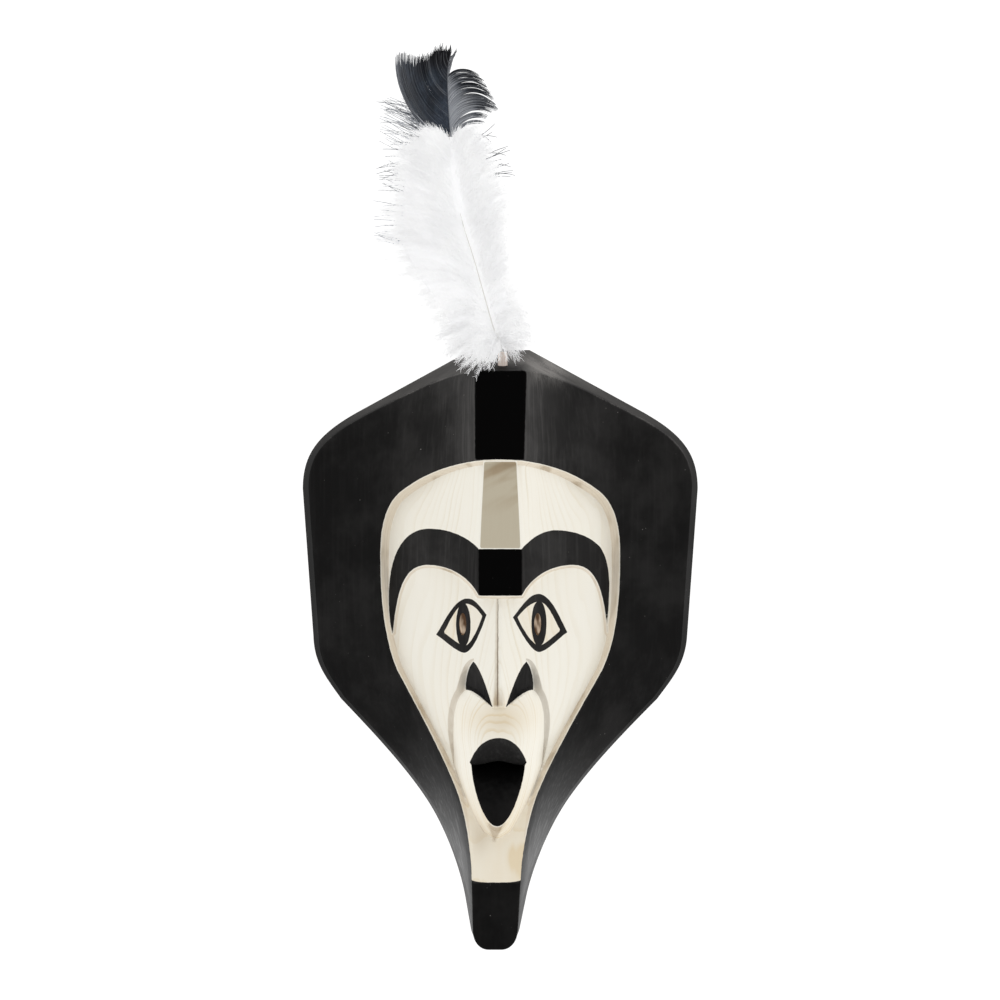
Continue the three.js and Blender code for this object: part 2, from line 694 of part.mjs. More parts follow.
// The peg that holds both quills in the crest, round at its foot
function peg() {
  const length = PEG.to - PEG.from;
  const pin = new THREE.LatheGeometry(
    [
      [0, 0],
      [PEG.radius - PEG.chamfer, 0],
      [PEG.radius, PEG.chamfer],
      [PEG.radius, length - PEG.chamfer],
      [PEG.radius - PEG.chamfer, length],
      [0, length],
    ].map(([r, y]) => new THREE.Vector2(r, y)),
    20,
  );
  pin.translate(PEG.x, PEG.from, PEG.z);
  let solid = toSolid(pin);
  for (const shaft of [plumeShaft, darkShaft]) solid = solid.subtract(tube(shaft, QUILL_RADIUS + SEAM, 30, 8));
  return toGeometry(solid);
}

const stained = new THREE.MeshStandardMaterial({ color: 0x1c1b1b, roughness: 0.45, metalness: 0 });
const down = new THREE.MeshStandardMaterial({ color: 0xf4f3f1, roughness: 0.95, metalness: 0 });
const dark = new THREE.MeshStandardMaterial({ color: 0x15181d, roughness: 0.6, metalness: 0 });
const pale = new THREE.MeshStandardMaterial({ color: 0xdcc3b2, roughness: 0.6, metalness: 0 });

const windMask = new THREE.Group();
function piece(name, geometry, material) {
  const mesh = new THREE.Mesh(geometry, material);
  mesh.name = name;
  windMask.add(mesh);
}
piece("mask_body", maskBody(), stained);
piece("quill_peg", peg(), pale);
piece("white_plume", plume(), down);
piece("dark_feather", darkFeather(), dark);

export default windMask;
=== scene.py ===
"""A carved wooden wind mask, lying on its back, with a white plume and a dark feather in its crest."""

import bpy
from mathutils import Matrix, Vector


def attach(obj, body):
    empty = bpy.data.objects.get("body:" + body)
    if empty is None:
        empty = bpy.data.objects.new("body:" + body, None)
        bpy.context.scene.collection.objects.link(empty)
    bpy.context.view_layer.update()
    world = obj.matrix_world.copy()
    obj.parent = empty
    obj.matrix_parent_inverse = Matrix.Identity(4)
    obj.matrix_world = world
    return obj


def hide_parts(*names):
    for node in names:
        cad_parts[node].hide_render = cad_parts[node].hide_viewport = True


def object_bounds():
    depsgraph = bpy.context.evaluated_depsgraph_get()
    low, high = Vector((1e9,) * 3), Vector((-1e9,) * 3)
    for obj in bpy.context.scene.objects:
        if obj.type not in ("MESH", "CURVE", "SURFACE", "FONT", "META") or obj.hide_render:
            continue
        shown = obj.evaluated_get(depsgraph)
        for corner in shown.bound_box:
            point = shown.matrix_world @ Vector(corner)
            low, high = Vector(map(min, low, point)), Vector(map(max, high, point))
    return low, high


bl_info = {
    "name": "Wind Mask",
    "version": (1, 0, 0),
    "blender": (4, 5, 0),
    "location": "3D View > Sidebar > Wind Mask",
    "description": "Carves and paints a hooded wind mask, and sets two feathers in its crest",
    "category": "Add Mesh",
}

import math

import bpy
import numpy as np
from bpy.props import FloatProperty, FloatVectorProperty, IntProperty, PointerProperty
from mathutils import Vector, geometry

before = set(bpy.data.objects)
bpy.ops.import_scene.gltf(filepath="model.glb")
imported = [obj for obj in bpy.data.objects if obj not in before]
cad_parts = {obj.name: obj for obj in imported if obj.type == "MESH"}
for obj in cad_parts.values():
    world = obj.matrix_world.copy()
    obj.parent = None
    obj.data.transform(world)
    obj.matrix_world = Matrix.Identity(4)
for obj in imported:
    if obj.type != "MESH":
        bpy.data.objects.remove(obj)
CAD_BOX = [list(corner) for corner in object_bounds()]
BODY = "root"
MM = 0.001

# The drawing below is in millimetres: across from the middle of the mask, up from the origin
# behind the crest, and out from the flat back. Its lines are on the right half, and the left
# half mirrors them. Finished pieces are scaled to metres.
# Far beyond the outline on every side
FAR = 500.0
OUTLINE_HALF = 160.0
CREST_Y = 15.0
CREST_HALF = 23.4
BAR_TOP = 100.0
BAR_HALF = 18.0
BAR_SPREAD = 30.0
RIDGE_END_Y = -150.0
RIDGE_FADE = 70.0
FACE_TOP_Y = -74.0
BROW_Y = -178.4
BROW_END_Y = -209.0
BROW_WALL = 2.2
BROW_WALL_END_Y = -215.0
BROW_BOX_HALF = 16.5
NOSE_TIP_Y = -263.0
NOSE_TIP_HALF = 5.5
NOSE_FOOT_Y = -312.0
NOSE_FADE = 27.0
UNDER_NOSE = 1.5
NOSTRIL_Y = -251.5
NOSTRIL_WALL = 2.0
FOLD_MIDDLE_Y = -258.0
FOLD_END_Y = -309.0
MUZZLE_FOOT_Y = -367.0
LEDGE_TOP = 92.0
LEDGE_WALL = 1.2
LEDGE_HALF = 15.0
MOUTH_HALF = 21.5
MOUTH_TOP_Y = -286.8
MOUTH_CORNER_Y = -306.3
MOUTH_FOOT_Y = -354.2
MOUTH_DEEP = 74.0
# Where the painted shade under the mouth's ledge fades out
MOUTH_SHADE_END_Y = -322.0
MOUTH_SHADE_FADE = 30.0
RIM_WALL_END_Y = -366.0
RIM_FOOT_LINE_END_Y = -350.0
BROW_FOOT_LINE_END_Y = -200.0
BEVEL_FADE = 4.0
CHIN_Y = -459.0
CHIN_FRONT_Y = -452.7
SIDE_FLARE = 0.21
CREST_FRONT_Y = CREST_Y - SIDE_FLARE * BAR_TOP
EDGE_DROP = 0.9
SOFT_EDGE_DROP = 0.15
WALL_DROP = 0.5
EDGE_WIDTH = 1.3
CRISP_EDGE_WIDTH = 0.5
CRISP_BELOW_Y = -290.0
LEAN_FROM = -214.0
CHIN_LEAN = -4.2
EYE_SLIT = {"x": 29.0, "y": -201.0, "z": 60.0, "half_width": 2.7, "half_height": 8.5, "length": 200.0}
HOLLOW = {"y": -184.0, "half": 124.0, "top": 152.0, "bottom": 190.0, "depth": 72.0}
PEG = {"x": 1.9, "z": 72.0, "radius": 3.7, "from": -16.0, "to": 10.0}
PEG_CLEARANCE = 0.3
BORE_LENGTH = 40.0
WHITE_RECESS = {"depth": 1.3, "edge": 1.6, "from_x": 30.0, "fade": 12.0}

LINES = {
    "outline": [
        (0, CREST_Y),
        (CREST_HALF, CREST_Y),
        (112, -33.5),
        (146, -52, 158, -68, 158, -96),
        (149.5, -214),
        (148.5, -236, 138, -248, 126.4, -264),
        (103, -288, 74, -318, 56, -345),
        (40, -369, 28, -402, 24, -424),
        (20, -445),
        (18.6, -454, 15, CHIN_Y, 8, CHIN_Y),
        (0, CHIN_Y),
    ],
    "rim": [
        (0, FACE_TOP_Y),
        (38, FACE_TOP_Y, 62, -86, 78, -98.5),
        (88, -106.5, 94, -122, 94, -146),
        (94, -178, 92, -212, 80, -238),
        (68, -260, 44, -300, 31, -331.6),
        (25, -347, 21.5, -366, 19.3, -386),
        (17.3, -439),
        (16.7, -446.5, 12, CHIN_FRONT_Y, 5, CHIN_FRONT_Y),
        (0, CHIN_FRONT_Y),
    ],
    "brow": [
        (0, BROW_Y),
        (BROW_BOX_HALF, BROW_Y),
        (22, -167, 36, -155.5, 56, -155.6),
        (74, -155.6, 81, -172, 84.3, BROW_END_Y),
    ],
    "fold_edge": [
        (20.4, -227.5),
        (27.5, -228.5, 30.5, -241, 33.2, -252),
        (37, -257, 40.5, -270, 39, -285),
        (38.2, -293, 36.5, -301, 34.6, FOLD_END_Y),
    ],
    "fold_foot": [
        (20.4, -230),
        (24, -234, 26, -243, 25.8, NOSTRIL_Y),
        (31, -254, 35.3, -265, 35.3, -277),
        (35.4, -288, 35.5, -296, 34.4, FOLD_END_Y),
    ],
    "nose": [(20.4, -230), (16, -234, 11.5, -245, NOSE_TIP_HALF, NOSE_TIP_Y)],
    "lip": [(25.8, NOSTRIL_Y), (21, -250.5, 15, -255, NOSE_TIP_HALF, NOSE_TIP_Y)],
    "muzzle": [(34.4, FOLD_END_Y), (30, -325, 21, -345, 10, -361), (0, MUZZLE_FOOT_Y)],
    "mouth": [
        (0, MOUTH_TOP_Y),
        (9, MOUTH_TOP_Y, 16.5, -292, MOUTH_HALF, MOUTH_CORNER_Y),
        (20.4, -308),
        (19, -326, 10, MOUTH_FOOT_Y, 0, MOUTH_FOOT_Y),
    ],
    "ledge": [(MOUTH_HALF, MOUTH_CORNER_Y), (17.5, -312, 9, -306, 0, -306)],
}

# The painter's lines, drawn by hand, so the two sides differ a little. The left ones are
# mirrored too: their first number is the distance from the middle.
PAINT_LINES = {
    "left_brow": [
        (16.5, -142.7),
        (22, -136, 36, -127.4, 55, -127.3),
        (77, -127.3, 87.8, -150, 87.6, -181),
        (87.6, -193, 86.4, -203, 84.8, -210),
    ],
    "right_brow": [
        (16, -143),
        (22, -136.3, 31, -128.5, 43, -128.4),
        (55, -128.6, 69, -132, 78, -141.5),
        (84.5, -149, 86.6, -165, 85.5, -181),
        (85.2, -190, 84.7, -196, 84, -202),
    ],
    "left_eye": [
        (49.6, -209.6),
        (44, -202, 36, -181.6, 25.2, -181.5),
        (19, -181.4, 15, -189, 10.8, -193.4),
        (14, -202, 21, -222.6, 27.6, -222.8),
        (33, -222.9, 42, -214.4, 49.6, -209.6),
    ],
    "left_eye_white": [
        (44.4, -208),
        (40.5, -202.5, 35, -185.2, 26, -185),
        (20.6, -185, 16, -190.8, 13.4, -194.6),
        (15.4, -199.6, 21.8, -217.6, 27.4, -217.8),
        (32, -217.9, 38, -212, 44.4, -208),
    ],
    "right_eye": [
        (51.9, -207.9),
        (47, -199, 39.6, -178.2, 29.3, -178),
        (22, -177.9, 15, -190, 10, -195.3),
        (14, -202.6, 23.6, -222.2, 30.2, -222.3),
        (36, -222.4, 44.6, -212.4, 51.9, -207.9),
    ],
    "right_eye_white": [
        (47.2, -206.8),
        (43, -199.4, 37.4, -183.6, 30, -183.4),
        (23.4, -183.4, 15.4, -191.8, 13, -195.4),
        (15.4, -201.4, 24.2, -217.6, 30, -217.8),
        (35, -217.9, 41, -210.6, 47.2, -206.8),
    ],
}
SIDES = (("left", -1), ("right", 1))
EYE_LINE_STEP = 1.2
BROW_LINE_STEP = 1.5
BAR_PAINT_Y = -142.6
BAR_PAINT_HALF = 16.0
# How far the unsheened black reaches past the sides of the bar
BAR_UNSHEENED_OVER = {"left": 1.3, "right": 0.3, "more_at_top": 1.9}
WARM_FROM_Y = -300.0
WARM_FADE = 60.0
CHIN_PAINT_Y = -399.6
CHIN_PAINT_HALF = 18.6
CHIN_PAINT_ROUND = 1.6
# The facet under the lip's tip, which faces down: painted darker as painted shade
LIP_FACET = np.array([(-7.2, -352.5), (5.1, -352.5), (-2, -368)])
EDGE_OVERLAP = 0.3

# Ovals and soft spots: middle across and up, half width and half height
PUPILS = [(-28.6, -201.6, 5.7, 17.2), (30.0, -200.6, 5.9, 17.8)]
# Brownish spots: on the chin at the left under the muzzle's tip, and on the lip just under the nose tip
CHIN_LEFT_SPOT = (-13, -366, 7, 13)
LIP_SPOT_UNDER_NOSE = (1, -275, 10, 7)
LIP_WARMTH = (0, -272, 24, 13)
CREST_RUB = (36, 2, 17, 13)
# A darker spot at the top of the bar, around where the peg enters the crest, which keeps the haze and wear
# off
CREST_DARK_SPOT = (2, -4, 19, 5)
RIM_STAIN = {"left": 0.4, "right": 0.2, "y": -275.0, "half": 42.0}
# Painted shade on the fold walls beside the muzzle, darker on the right
FOLD_SHADE = {"left": 0.4, "right": 0.75, "end_y": -335.0}


def cubic(t, a, b, c, d):
    """A curve from a to d, pulled towards b and c."""
    return (1 - t) ** 3 * a + 3 * (1 - t) ** 2 * t * b + 3 * (1 - t) * t * t * c + t**3 * d


def line(start, *points, step=2.0):
    """Points about step apart. A point of two numbers goes straight, one of six is a curve."""
    runs = [np.array([start], float)]
    for point in points:
        a = runs[-1][-1]
        t = np.linspace(0, 1, 41)[:, None]
        fine = mix(a, np.array(point), t) if len(point) == 2 else cubic(t, a, *np.reshape(point, (3, 2)))
        along = np.r_[0, np.cumsum(np.hypot(*np.diff(fine, axis=0).T))]
        wanted = np.linspace(0, along[-1], max(1, round(along[-1] / step)) + 1)[1:]
        runs.append(np.column_stack([np.interp(wanted, along, fine[:, axis]) for axis in (0, 1)]))
    return np.vstack(runs)


def trace(name, step=2.0):
    """One of the drawn lines, as points about step apart."""
    return line(*(LINES.get(name) or PAINT_LINES[name]), step=step)


def profile(*pairs):
    """A smooth curve through pairs of place along the mask and value, with the places falling."""
    at = -np.array([pair[0] for pair in pairs], float)
    value = np.array([pair[1] for pair in pairs], float)
    slope = np.empty(len(at))
    slope[0] = (value[1] - value[0]) / (at[1] - at[0])
    slope[-1] = (value[-1] - value[-2]) / (at[-1] - at[-2])
    slope[1:-1] = (value[2:] - value[:-2]) / (at[2:] - at[:-2])

    def curve(y):
        place = np.clip(-np.asarray(y, float), at[0], at[-1])
        i = np.clip(np.searchsorted(at, place) - 1, 0, len(at) - 2)
        h = at[i + 1] - at[i]
        t = (place - at[i]) / h
        start = value[i] * (1 + 2 * t) * (1 - t) ** 2 + slope[i] * h * t * (1 - t) ** 2
        return start + value[i + 1] * t * t * (3 - 2 * t) + slope[i + 1] * h * t * t * (t - 1)

    return curve


side_height = profile((-100, 30), (-214, 28), (-264, 22), (-345, 14), (CHIN_Y, 12))
rim_height = profile(
    (FACE_TOP_Y, 45), (-150, 48), (-207, 51), (-259, 59), (-313, 73), (-350, 85), (-386, 90), (-450, 81)
)
rim_step = profile(
    (FACE_TOP_Y, 5), (-95, 8), (-150, 9), (-205, 8), (-260, 5), (-313, 4), (RIM_WALL_END_Y, 0)
)
rim_width = profile(
    (FACE_TOP_Y, 3), (-95, 6), (-150, 6.3), (-205, 5), (-260, 3.8), (-330, 3.8), (RIM_WALL_END_Y, 1.5)
)
bar_height = profile((FACE_TOP_Y, 95), (BROW_Y, 101))
bar_half = profile((FACE_TOP_Y, 12.9), (-141, 16.1), (BROW_Y, 16.5))
nose_height = profile((BROW_Y, 94), (-211, 98), (-249, 106), (NOSE_TIP_Y, 109))
nose_half = profile((BROW_Y, 0.7), (-235, 1), (NOSE_TIP_Y, 2.2))
lip_height = profile((-252, 97), (-264, 104), (-287, 113), (-306, 114), (-354, 108), (MUZZLE_FOOT_Y, 99))
nostril_drop = profile((-230, 0), (-240, 6), (-252, 9), (NOSE_TIP_Y, 7))
fold_drop = profile((-230, 0), (-240, 6), (-251, 8), (FOLD_MIDDLE_Y, 3), (-300, 3), (-315, 0))


def lean(y):
    """Below the face the carving leans a little to the viewer's left, as cut by hand."""
    return CHIN_LEAN * np.maximum(LEAN_FROM - y, 0) / (LEAN_FROM - CHIN_Y)


def mix(a, b, share):
    return a + (b - a) * share


def smooth(value):
    value = np.clip(value, 0, 1)
    return value * value * (3 - 2 * value)


def distance(x, y, points):
    """Distance of each place from a line."""
    best = np.full(x.shape, np.inf)
    for (ax, ay), (bx, by) in zip(points[:-1], points[1:]):
        dx = bx - ax
        dy = by - ay
        along = np.clip(((x - ax) * dx + (y - ay) * dy) / (dx * dx + dy * dy + 1e-12), 0, 1)
        best = np.minimum(best, (x - ax - along * dx) ** 2 + (y - ay - along * dy) ** 2)
    return np.sqrt(best)


def inside(x, y, points):
    """Whether each place is inside a closed line."""
    within = np.zeros(x.shape, bool)
    for (ax, ay), (bx, by) in zip(points, np.roll(points, 1, axis=0)):
        if ay != by:
            within ^= ((ay > y) != (by > y)) & (x < ax + (bx - ax) * (y - ay) / (by - ay))
    return within


def depth_in(x, y, points):
    """Distance from a closed line, above zero inside it."""
    return distance(x, y, np.vstack([points, points[:1]])) * np.where(inside(x, y, points), 1, -1)


def both_sides(points):
    """The right half of a line and its mirror image, as one closed loop."""
    left = points[points[:, 0] > 1e-6][::-1] * (-1, 1)
    return np.vstack([points, left])


def inset(loop, depth):
    """Moves each point of a closed loop inwards, square to the loop."""
    side = np.roll(loop, -1, axis=0) - np.roll(loop, 1, axis=0)
    side /= np.linalg.norm(side, axis=1)[:, None]
    return loop + np.c_[side[:, 1], -side[:, 0]] * np.asarray(depth)[:, None]


def ridge(x, y):
    """How much of the bar's height the hood keeps beside it."""
    beside = np.exp(-np.maximum(np.abs(x) - BAR_HALF, 0) / BAR_SPREAD)
    return beside * smooth((y - RIDGE_END_Y) / RIDGE_FADE)


def hood(x, y, to_rim, to_side):
    share = to_rim / (to_rim + to_side + 1e-9)
    base = mix(side_height(y), rim_height(y), (1 - share) ** 1.3)
    return mix(base, BAR_TOP, ridge(x, y))


def rim_top(x, y):
    return hood(x, y, 0.0, 1.0)


def leaned(back):
    """The outer edge of the front, which leans in more where the hood is higher."""
    top = back
    for _ in range(8):
        height = mix(side_height(top[:, 1]), BAR_TOP, ridge(top[:, 0], top[:, 1]))
        top = inset(back, SIDE_FLARE * height)
    crest = back[:, 1] > CREST_Y - 0.1
    top[crest, 0] = back[crest, 0] * BAR_HALF / CREST_HALF
    top[crest, 1] = CREST_FRONT_Y
    return top


class Drawing:
    """The carver's lines as fine polylines, and the areas that they bound."""

    def __init__(self):
        for name in LINES:
            setattr(self, name, trace(name))
        low = self.fold_foot[self.fold_foot[:, 1] < NOSTRIL_Y - 0.1]
        high = self.fold_foot[self.fold_foot[:, 1] > NOSTRIL_Y]
        self.nose_tip = np.array([[0, NOSE_TIP_Y], [NOSE_TIP_HALF, NOSE_TIP_Y]])
        self.muzzle_side = np.vstack([low, self.muzzle[1:]])
        self.sockets = np.vstack([self.brow, [[FAR, BROW_END_Y], [FAR, -FAR], [0, -FAR]]])
        self.nostril = np.vstack([self.nose, self.lip[::-1], high[::-1]])
        self.lips = np.vstack([self.nose_tip, self.lip[::-1], low, self.muzzle])
        self.folds = np.vstack([self.nose, self.nose_tip[:1], self.muzzle[::-1], self.fold_edge[::-1]])
        self.back = both_sides(trace("outline", 3.0))
        self.side = leaned(self.back)
        half = self.side[: len(self.side) // 2 + 2]
        self.half_side = np.vstack([half[half[:, 0] > -1e-6], [[0, half[:, 1].min()]]])


DRAWING = Drawing()


def slopes(x, y, to_rim, crest, crest_half, power):
    """The face, falling from a crest along the middle to the foot of the rim."""
    foot = rim_top(x, y) - rim_step(y) * np.clip(to_rim / rim_width(y), 0, 1)
    from_rim = np.maximum(to_rim - rim_width(y), 0)
    from_crest = np.maximum(x - crest_half, 0)
    return mix(foot, crest, (from_rim / (from_rim + from_crest + 1e-9)) ** power)


def forehead(x, y, to_rim):
    return slopes(x, y, to_rim, bar_height(y), bar_half(y), 1.15)


def cheek(x, y, to_rim):
    crest = mix(rim_height(y) - rim_step(y), nose_height(y), smooth((y - NOSE_FOOT_Y) / NOSE_FADE))
    return slopes(x, y, to_rim, crest, nose_half(y), 1.0)


def lips(x, y, ground):
    side = DRAWING.muzzle_side
    width = np.interp(-y, -side[:, 1], side[:, 0])
    share = np.minimum(x / np.maximum(width, 0.5), 1)
    return mix(lip_height(y), ground - fold_drop(np.minimum(y, FOLD_MIDDLE_Y)), share**2.4)


def mouth(x, y, edge):
    """The roof of the mouth falls to a ledge, and its floor rises again from under the ledge."""
    ledge_y = np.interp(x, DRAWING.ledge[::-1, 0], DRAWING.ledge[::-1, 1])
    to_ledge = distance(x, y, DRAWING.ledge)
    share = to_ledge / (to_ledge + distance(x, y, DRAWING.mouth) + 1e-9)
    corner = np.clip((x - LEDGE_HALF) / (MOUTH_HALF - LEDGE_HALF), 0, 1) ** 2
    roof = mix(mix(LEDGE_TOP, edge, corner), edge, share**0.9)
    floor = mix(mix(MOUTH_DEEP, edge, corner), edge, share**0.8)
    return mix(roof, floor, np.clip((ledge_y - y) / LEDGE_WALL, 0, 1))


def muzzle(x, y, ground):
    """The folds beside the nose, the nostrils, the lips and the mouth."""
    to_edge = distance(x, y, DRAWING.fold_edge)
    to_foot = distance(x, y, DRAWING.fold_foot)
    z = ground - fold_drop(y) * to_edge / (to_edge + to_foot + 1e-9)
    nostril = ground - nostril_drop(y) * np.clip(distance(x, y, DRAWING.nose) / NOSTRIL_WALL, 0, 1)
    z = np.where(inside(x, y, DRAWING.nostril), nostril, z)
    lip = lips(x, y, ground)
    below_tip = np.clip(distance(x, y, DRAWING.nose_tip) / UNDER_NOSE, 0, 1)
    under_nose = mix(np.maximum(ground, lip), lip, below_tip)
    z = np.where(inside(x, y, DRAWING.lips), np.where(x < NOSE_TIP_HALF, under_nose, lip), z)
    return np.where(inside(x, y, DRAWING.mouth), mouth(x, y, lip), z)


def front(x, y):
    """Height of the carved front over each place."""
    x = np.maximum(np.abs(x), 1e-4)
    to_rim = distance(x, y, DRAWING.rim)
    top = forehead(x, y, to_rim)
    low = cheek(x, y, to_rim)
    socket = mix(top, low, np.clip(distance(x, y, DRAWING.brow) / BROW_WALL, 0, 1))
    socket = np.where(inside(x, y, DRAWING.folds), muzzle(x, y, low), socket)
    face = np.where(inside(x, y, DRAWING.sockets), socket, top)
    around = hood(x, y, to_rim, distance(x, y, DRAWING.half_side))
    return np.where(inside(x, y, DRAWING.rim), face, around)


def recess_whites(x, y, z):
    """The whites of the eyes are cut a little below their outer corners."""
    for name, side in SIDES:
        depth = depth_in(x * side, y, trace(name + "_eye_white", EYE_LINE_STEP))
        outer = smooth((x * side - WHITE_RECESS["from_x"]) / WHITE_RECESS["fade"])
        z = z - WHITE_RECESS["depth"] * smooth(depth / WHITE_RECESS["edge"]) * outer
    return z


def surface(x, y):
    """Height of the finished front over each place."""
    return recess_whites(x, y, front(x, y))


class Plan:
    """The places that the front is meshed on: lines first, then an even mesh between them."""

    def __init__(self):
        self.points = []
        self.heights = []
        self.carved = []
        self.drawn = []
        self.links = []

    def take(self, points, heights, carved, drawn):
        self.points += points.tolist()
        self.heights += list(np.broadcast_to(heights(*points.T), len(points)))
        self.carved += [carved] * len(points)
        self.drawn += [drawn] * len(points)

    def add(self, points, heights=surface, closed=False, carved=True):
        """Adds a line, which the triangles follow. Creases are kept on a carved one."""
        ids = list(range(len(self.points), len(self.points) + len(points)))
        self.take(points, heights, carved, True)
        self.links += list(zip(ids[:-1], ids[1:]))
        if closed:
            self.links.append((ids[-1], ids[0]))

    def add_both(self, points, heights=surface, carved=True):
        self.add(points, heights, carved=carved)
        self.add(points * (-1, 1), heights, carved=carved)

    def fill(self, step, keep):
        """Adds an even triangular mesh, alike on both sides, clear of the lines."""
        rows = []
        for n, y in enumerate(np.arange(CREST_Y, CHIN_Y, -step * 0.87)):
            x = np.arange((n % 2) * step / 2, OUTLINE_HALF, step)
            rows.append(np.c_[x, np.full(len(x), y)])
        right = np.vstack(rows)
        right = right[keep(np.maximum(right[:, 0], 1e-3), right[:, 1])]
        spots = np.vstack([right, right[right[:, 0] > 1e-6] * (-1, 1)])
        lines = np.array([point for point, drawn in zip(self.points, self.drawn) if drawn])
        near = np.full(len(spots), np.inf)
        for start in range(0, len(lines), 100):
            gap = spots[:, None, :] - lines[None, start : start + 100]
            near = np.minimum(near, (gap**2).sum(axis=2).min(axis=1))
        spots = spots[near > (0.5 * min(step, 1.6)) ** 2]
        self.take(spots, surface, False, False)


def upright(from_y, to_y, half, step):
    """A line along the mask whose distance from the middle is half(y)."""
    y = np.linspace(from_y, to_y, round(abs(from_y - to_y) / step) + 1)
    return np.c_[np.broadcast_to(half(y), y.shape), y]


def level(y, half, step):
    x = np.linspace(-half, half, round(2 * half / step) + 1)
    return np.c_[x, np.full(len(x), y)]


def chin_paint(x):
    """Where the black of the chin begins: the white over it has rounded corners."""
    return CHIN_PAINT_Y + CHIN_PAINT_ROUND * np.minimum(np.abs(x) / CHIN_PAINT_HALF, 1) ** 4


def plan_front(line_step, face_step, hood_step):
    """All the lines of the front, and the mesh between them."""
    plan = Plan()
    side = DRAWING.side
    plan.add(side, lambda x, y: hood(x, y, 1.0, 0.0) - EDGE_DROP, closed=True)
    soft_edge = inset(side, np.where(side[:, 1] < CRISP_BELOW_Y, CRISP_EDGE_WIDTH, EDGE_WIDTH))
    plan.add(soft_edge, lambda x, y: front(x, y) - SOFT_EDGE_DROP, closed=True)
    rim = both_sides(trace("rim", line_step))
    plan.add(rim, rim_top, closed=True)
    foot = inset(rim, rim_width(rim[:, 1]))
    right = foot[(rim[:, 0] > 0.5) & (foot[:, 0] > 0.5) & (foot[:, 1] > RIM_FOOT_LINE_END_Y)]
    plan.add_both(right, lambda x, y: rim_top(x, y) - rim_step(y))
    plan.add_both(upright(CREST_FRONT_Y - 2, FACE_TOP_Y, lambda y: BAR_HALF, line_step))
    plan.add_both(upright(FACE_TOP_Y - 3, BROW_Y, bar_half, line_step))
    plan.add_both(upright(BROW_Y - BROW_WALL, NOSE_TIP_Y, nose_half, line_step))
    brow = trace("brow", line_step)
    plan.add_both(brow)
    under = inset(both_sides(brow), np.full(2 * len(brow) - 1, BROW_WALL))[: len(brow)]
    plan.add_both(under[(under[:, 0] > 0.5) & (under[:, 1] > BROW_FOOT_LINE_END_Y)])
    for name in ("fold_edge", "fold_foot", "nose", "muzzle", "mouth", "ledge"):
        plan.add_both(trace(name, line_step))
    lip = trace("lip", line_step)
    plan.add_both(lip, lambda x, y: front(x, y - 0.2))
    plan.add_both(lip[1:-1] + (0, 0.7))
    plan.add_both(trace("ledge", line_step)[1:] - (0, LEDGE_WALL))
    wall_foot = trace("nose", line_step) + (NOSTRIL_WALL, 0.5)
    clear = inside(*wall_foot.T, DRAWING.nostril) & (distance(*wall_foot.T, DRAWING.lip) > NOSTRIL_WALL)
    plan.add_both(wall_foot[clear])
    below_y = NOSE_TIP_Y - UNDER_NOSE
    plan.add_both(np.array([[0.1, below_y], [NOSE_TIP_HALF, below_y]]))
    for name in PAINT_LINES:
        closed = "eye" in name
        drawn = trace(name, line_step) * (-1 if name.startswith("left") else 1, 1)
        plan.add(drawn[: len(drawn) - closed], closed=closed, carved=closed)
    plan.add(level(BAR_PAINT_Y, BAR_PAINT_HALF, line_step), carved=False)
    chin_edge = level(0, CHIN_PAINT_HALF, line_step)
    chin_edge[:, 1] = chin_paint(chin_edge[:, 0])
    plan.add(chin_edge, carved=False)
    in_face = lambda x, y: inside(x, y, DRAWING.rim)
    plan.fill(face_step, in_face)
    plan.fill(hood_step, lambda x, y: inside(x, y, side) & ~in_face(x, y))
    return plan


def triangulate(plan):
    """Triangles over the plan that keep its lines, inside the outer edge."""
    found = geometry.delaunay_2d_cdt([Vector(p) for p in plan.points], plan.links, [], 0, 1e-4)
    places = np.array([tuple(p) for p in found[0]])
    faces = np.array(found[2])
    middle = places[faces].mean(axis=1)
    faces = faces[inside(middle[:, 0], middle[:, 1], DRAWING.side)]
    first = np.array([origin[0] if origin else -1 for origin in found[3]])
    heights = np.array(plan.heights)[first]
    new = first < 0
    heights[new] = front(places[new, 0], places[new, 1])
    fixed = np.array(plan.carved)[first] & ~new
    return places, heights, faces, fixed


def even_out(places, z, faces, fixed, passes, amount):
    """Takes creases out of the heights between the fixed places."""
    a, b, c = (places[faces[:, i]] for i in range(3))

    def weight_at(p, q, r):
        u = q - p
        v = r - p
        return (u * v).sum(axis=1) / np.maximum(np.abs(u[:, 0] * v[:, 1] - u[:, 1] * v[:, 0]), 1e-9)

    ends = np.vstack([faces[:, [1, 2]], faces[:, [2, 0]], faces[:, [0, 1]]])
    weight = np.clip(np.r_[weight_at(a, b, c), weight_at(b, c, a), weight_at(c, a, b)], 0.01, 20)
    total = np.bincount(ends.ravel(), np.repeat(weight, 2), len(z))
    free = ~fixed & (total > 0)
    for _ in range(passes):
        pull = np.bincount(ends[:, 0], weight * z[ends[:, 1]], len(z))
        pull += np.bincount(ends[:, 1], weight * z[ends[:, 0]], len(z))
        z[free] += amount * (pull[free] / total[free] - z[free])
    return z


def new_object(name, vertices, faces):
    mesh = bpy.data.meshes.new(name)
    mesh.from_pydata(vertices, [], faces)
    mesh.update()
    piece = bpy.data.objects.new(name, mesh)
    bpy.context.collection.objects.link(piece)
    return piece


def select_only(piece):
    bpy.ops.object.select_all(action="DESELECT")
    piece.select_set(True)
    bpy.context.view_layer.objects.active = piece


def tidy_normals(piece):
    select_only(piece)
    bpy.ops.object.mode_set(mode="EDIT")
    bpy.ops.mesh.select_all(action="SELECT")
    bpy.ops.mesh.quads_convert_to_tris()
    bpy.ops.mesh.normals_make_consistent(inside=False)
    bpy.ops.object.mode_set(mode="OBJECT")


# How far down the side walls each row of points lies, after the first one along their upper edge
WALL_ROWS = (0.04, *np.linspace(0, 1, 9)[1:])


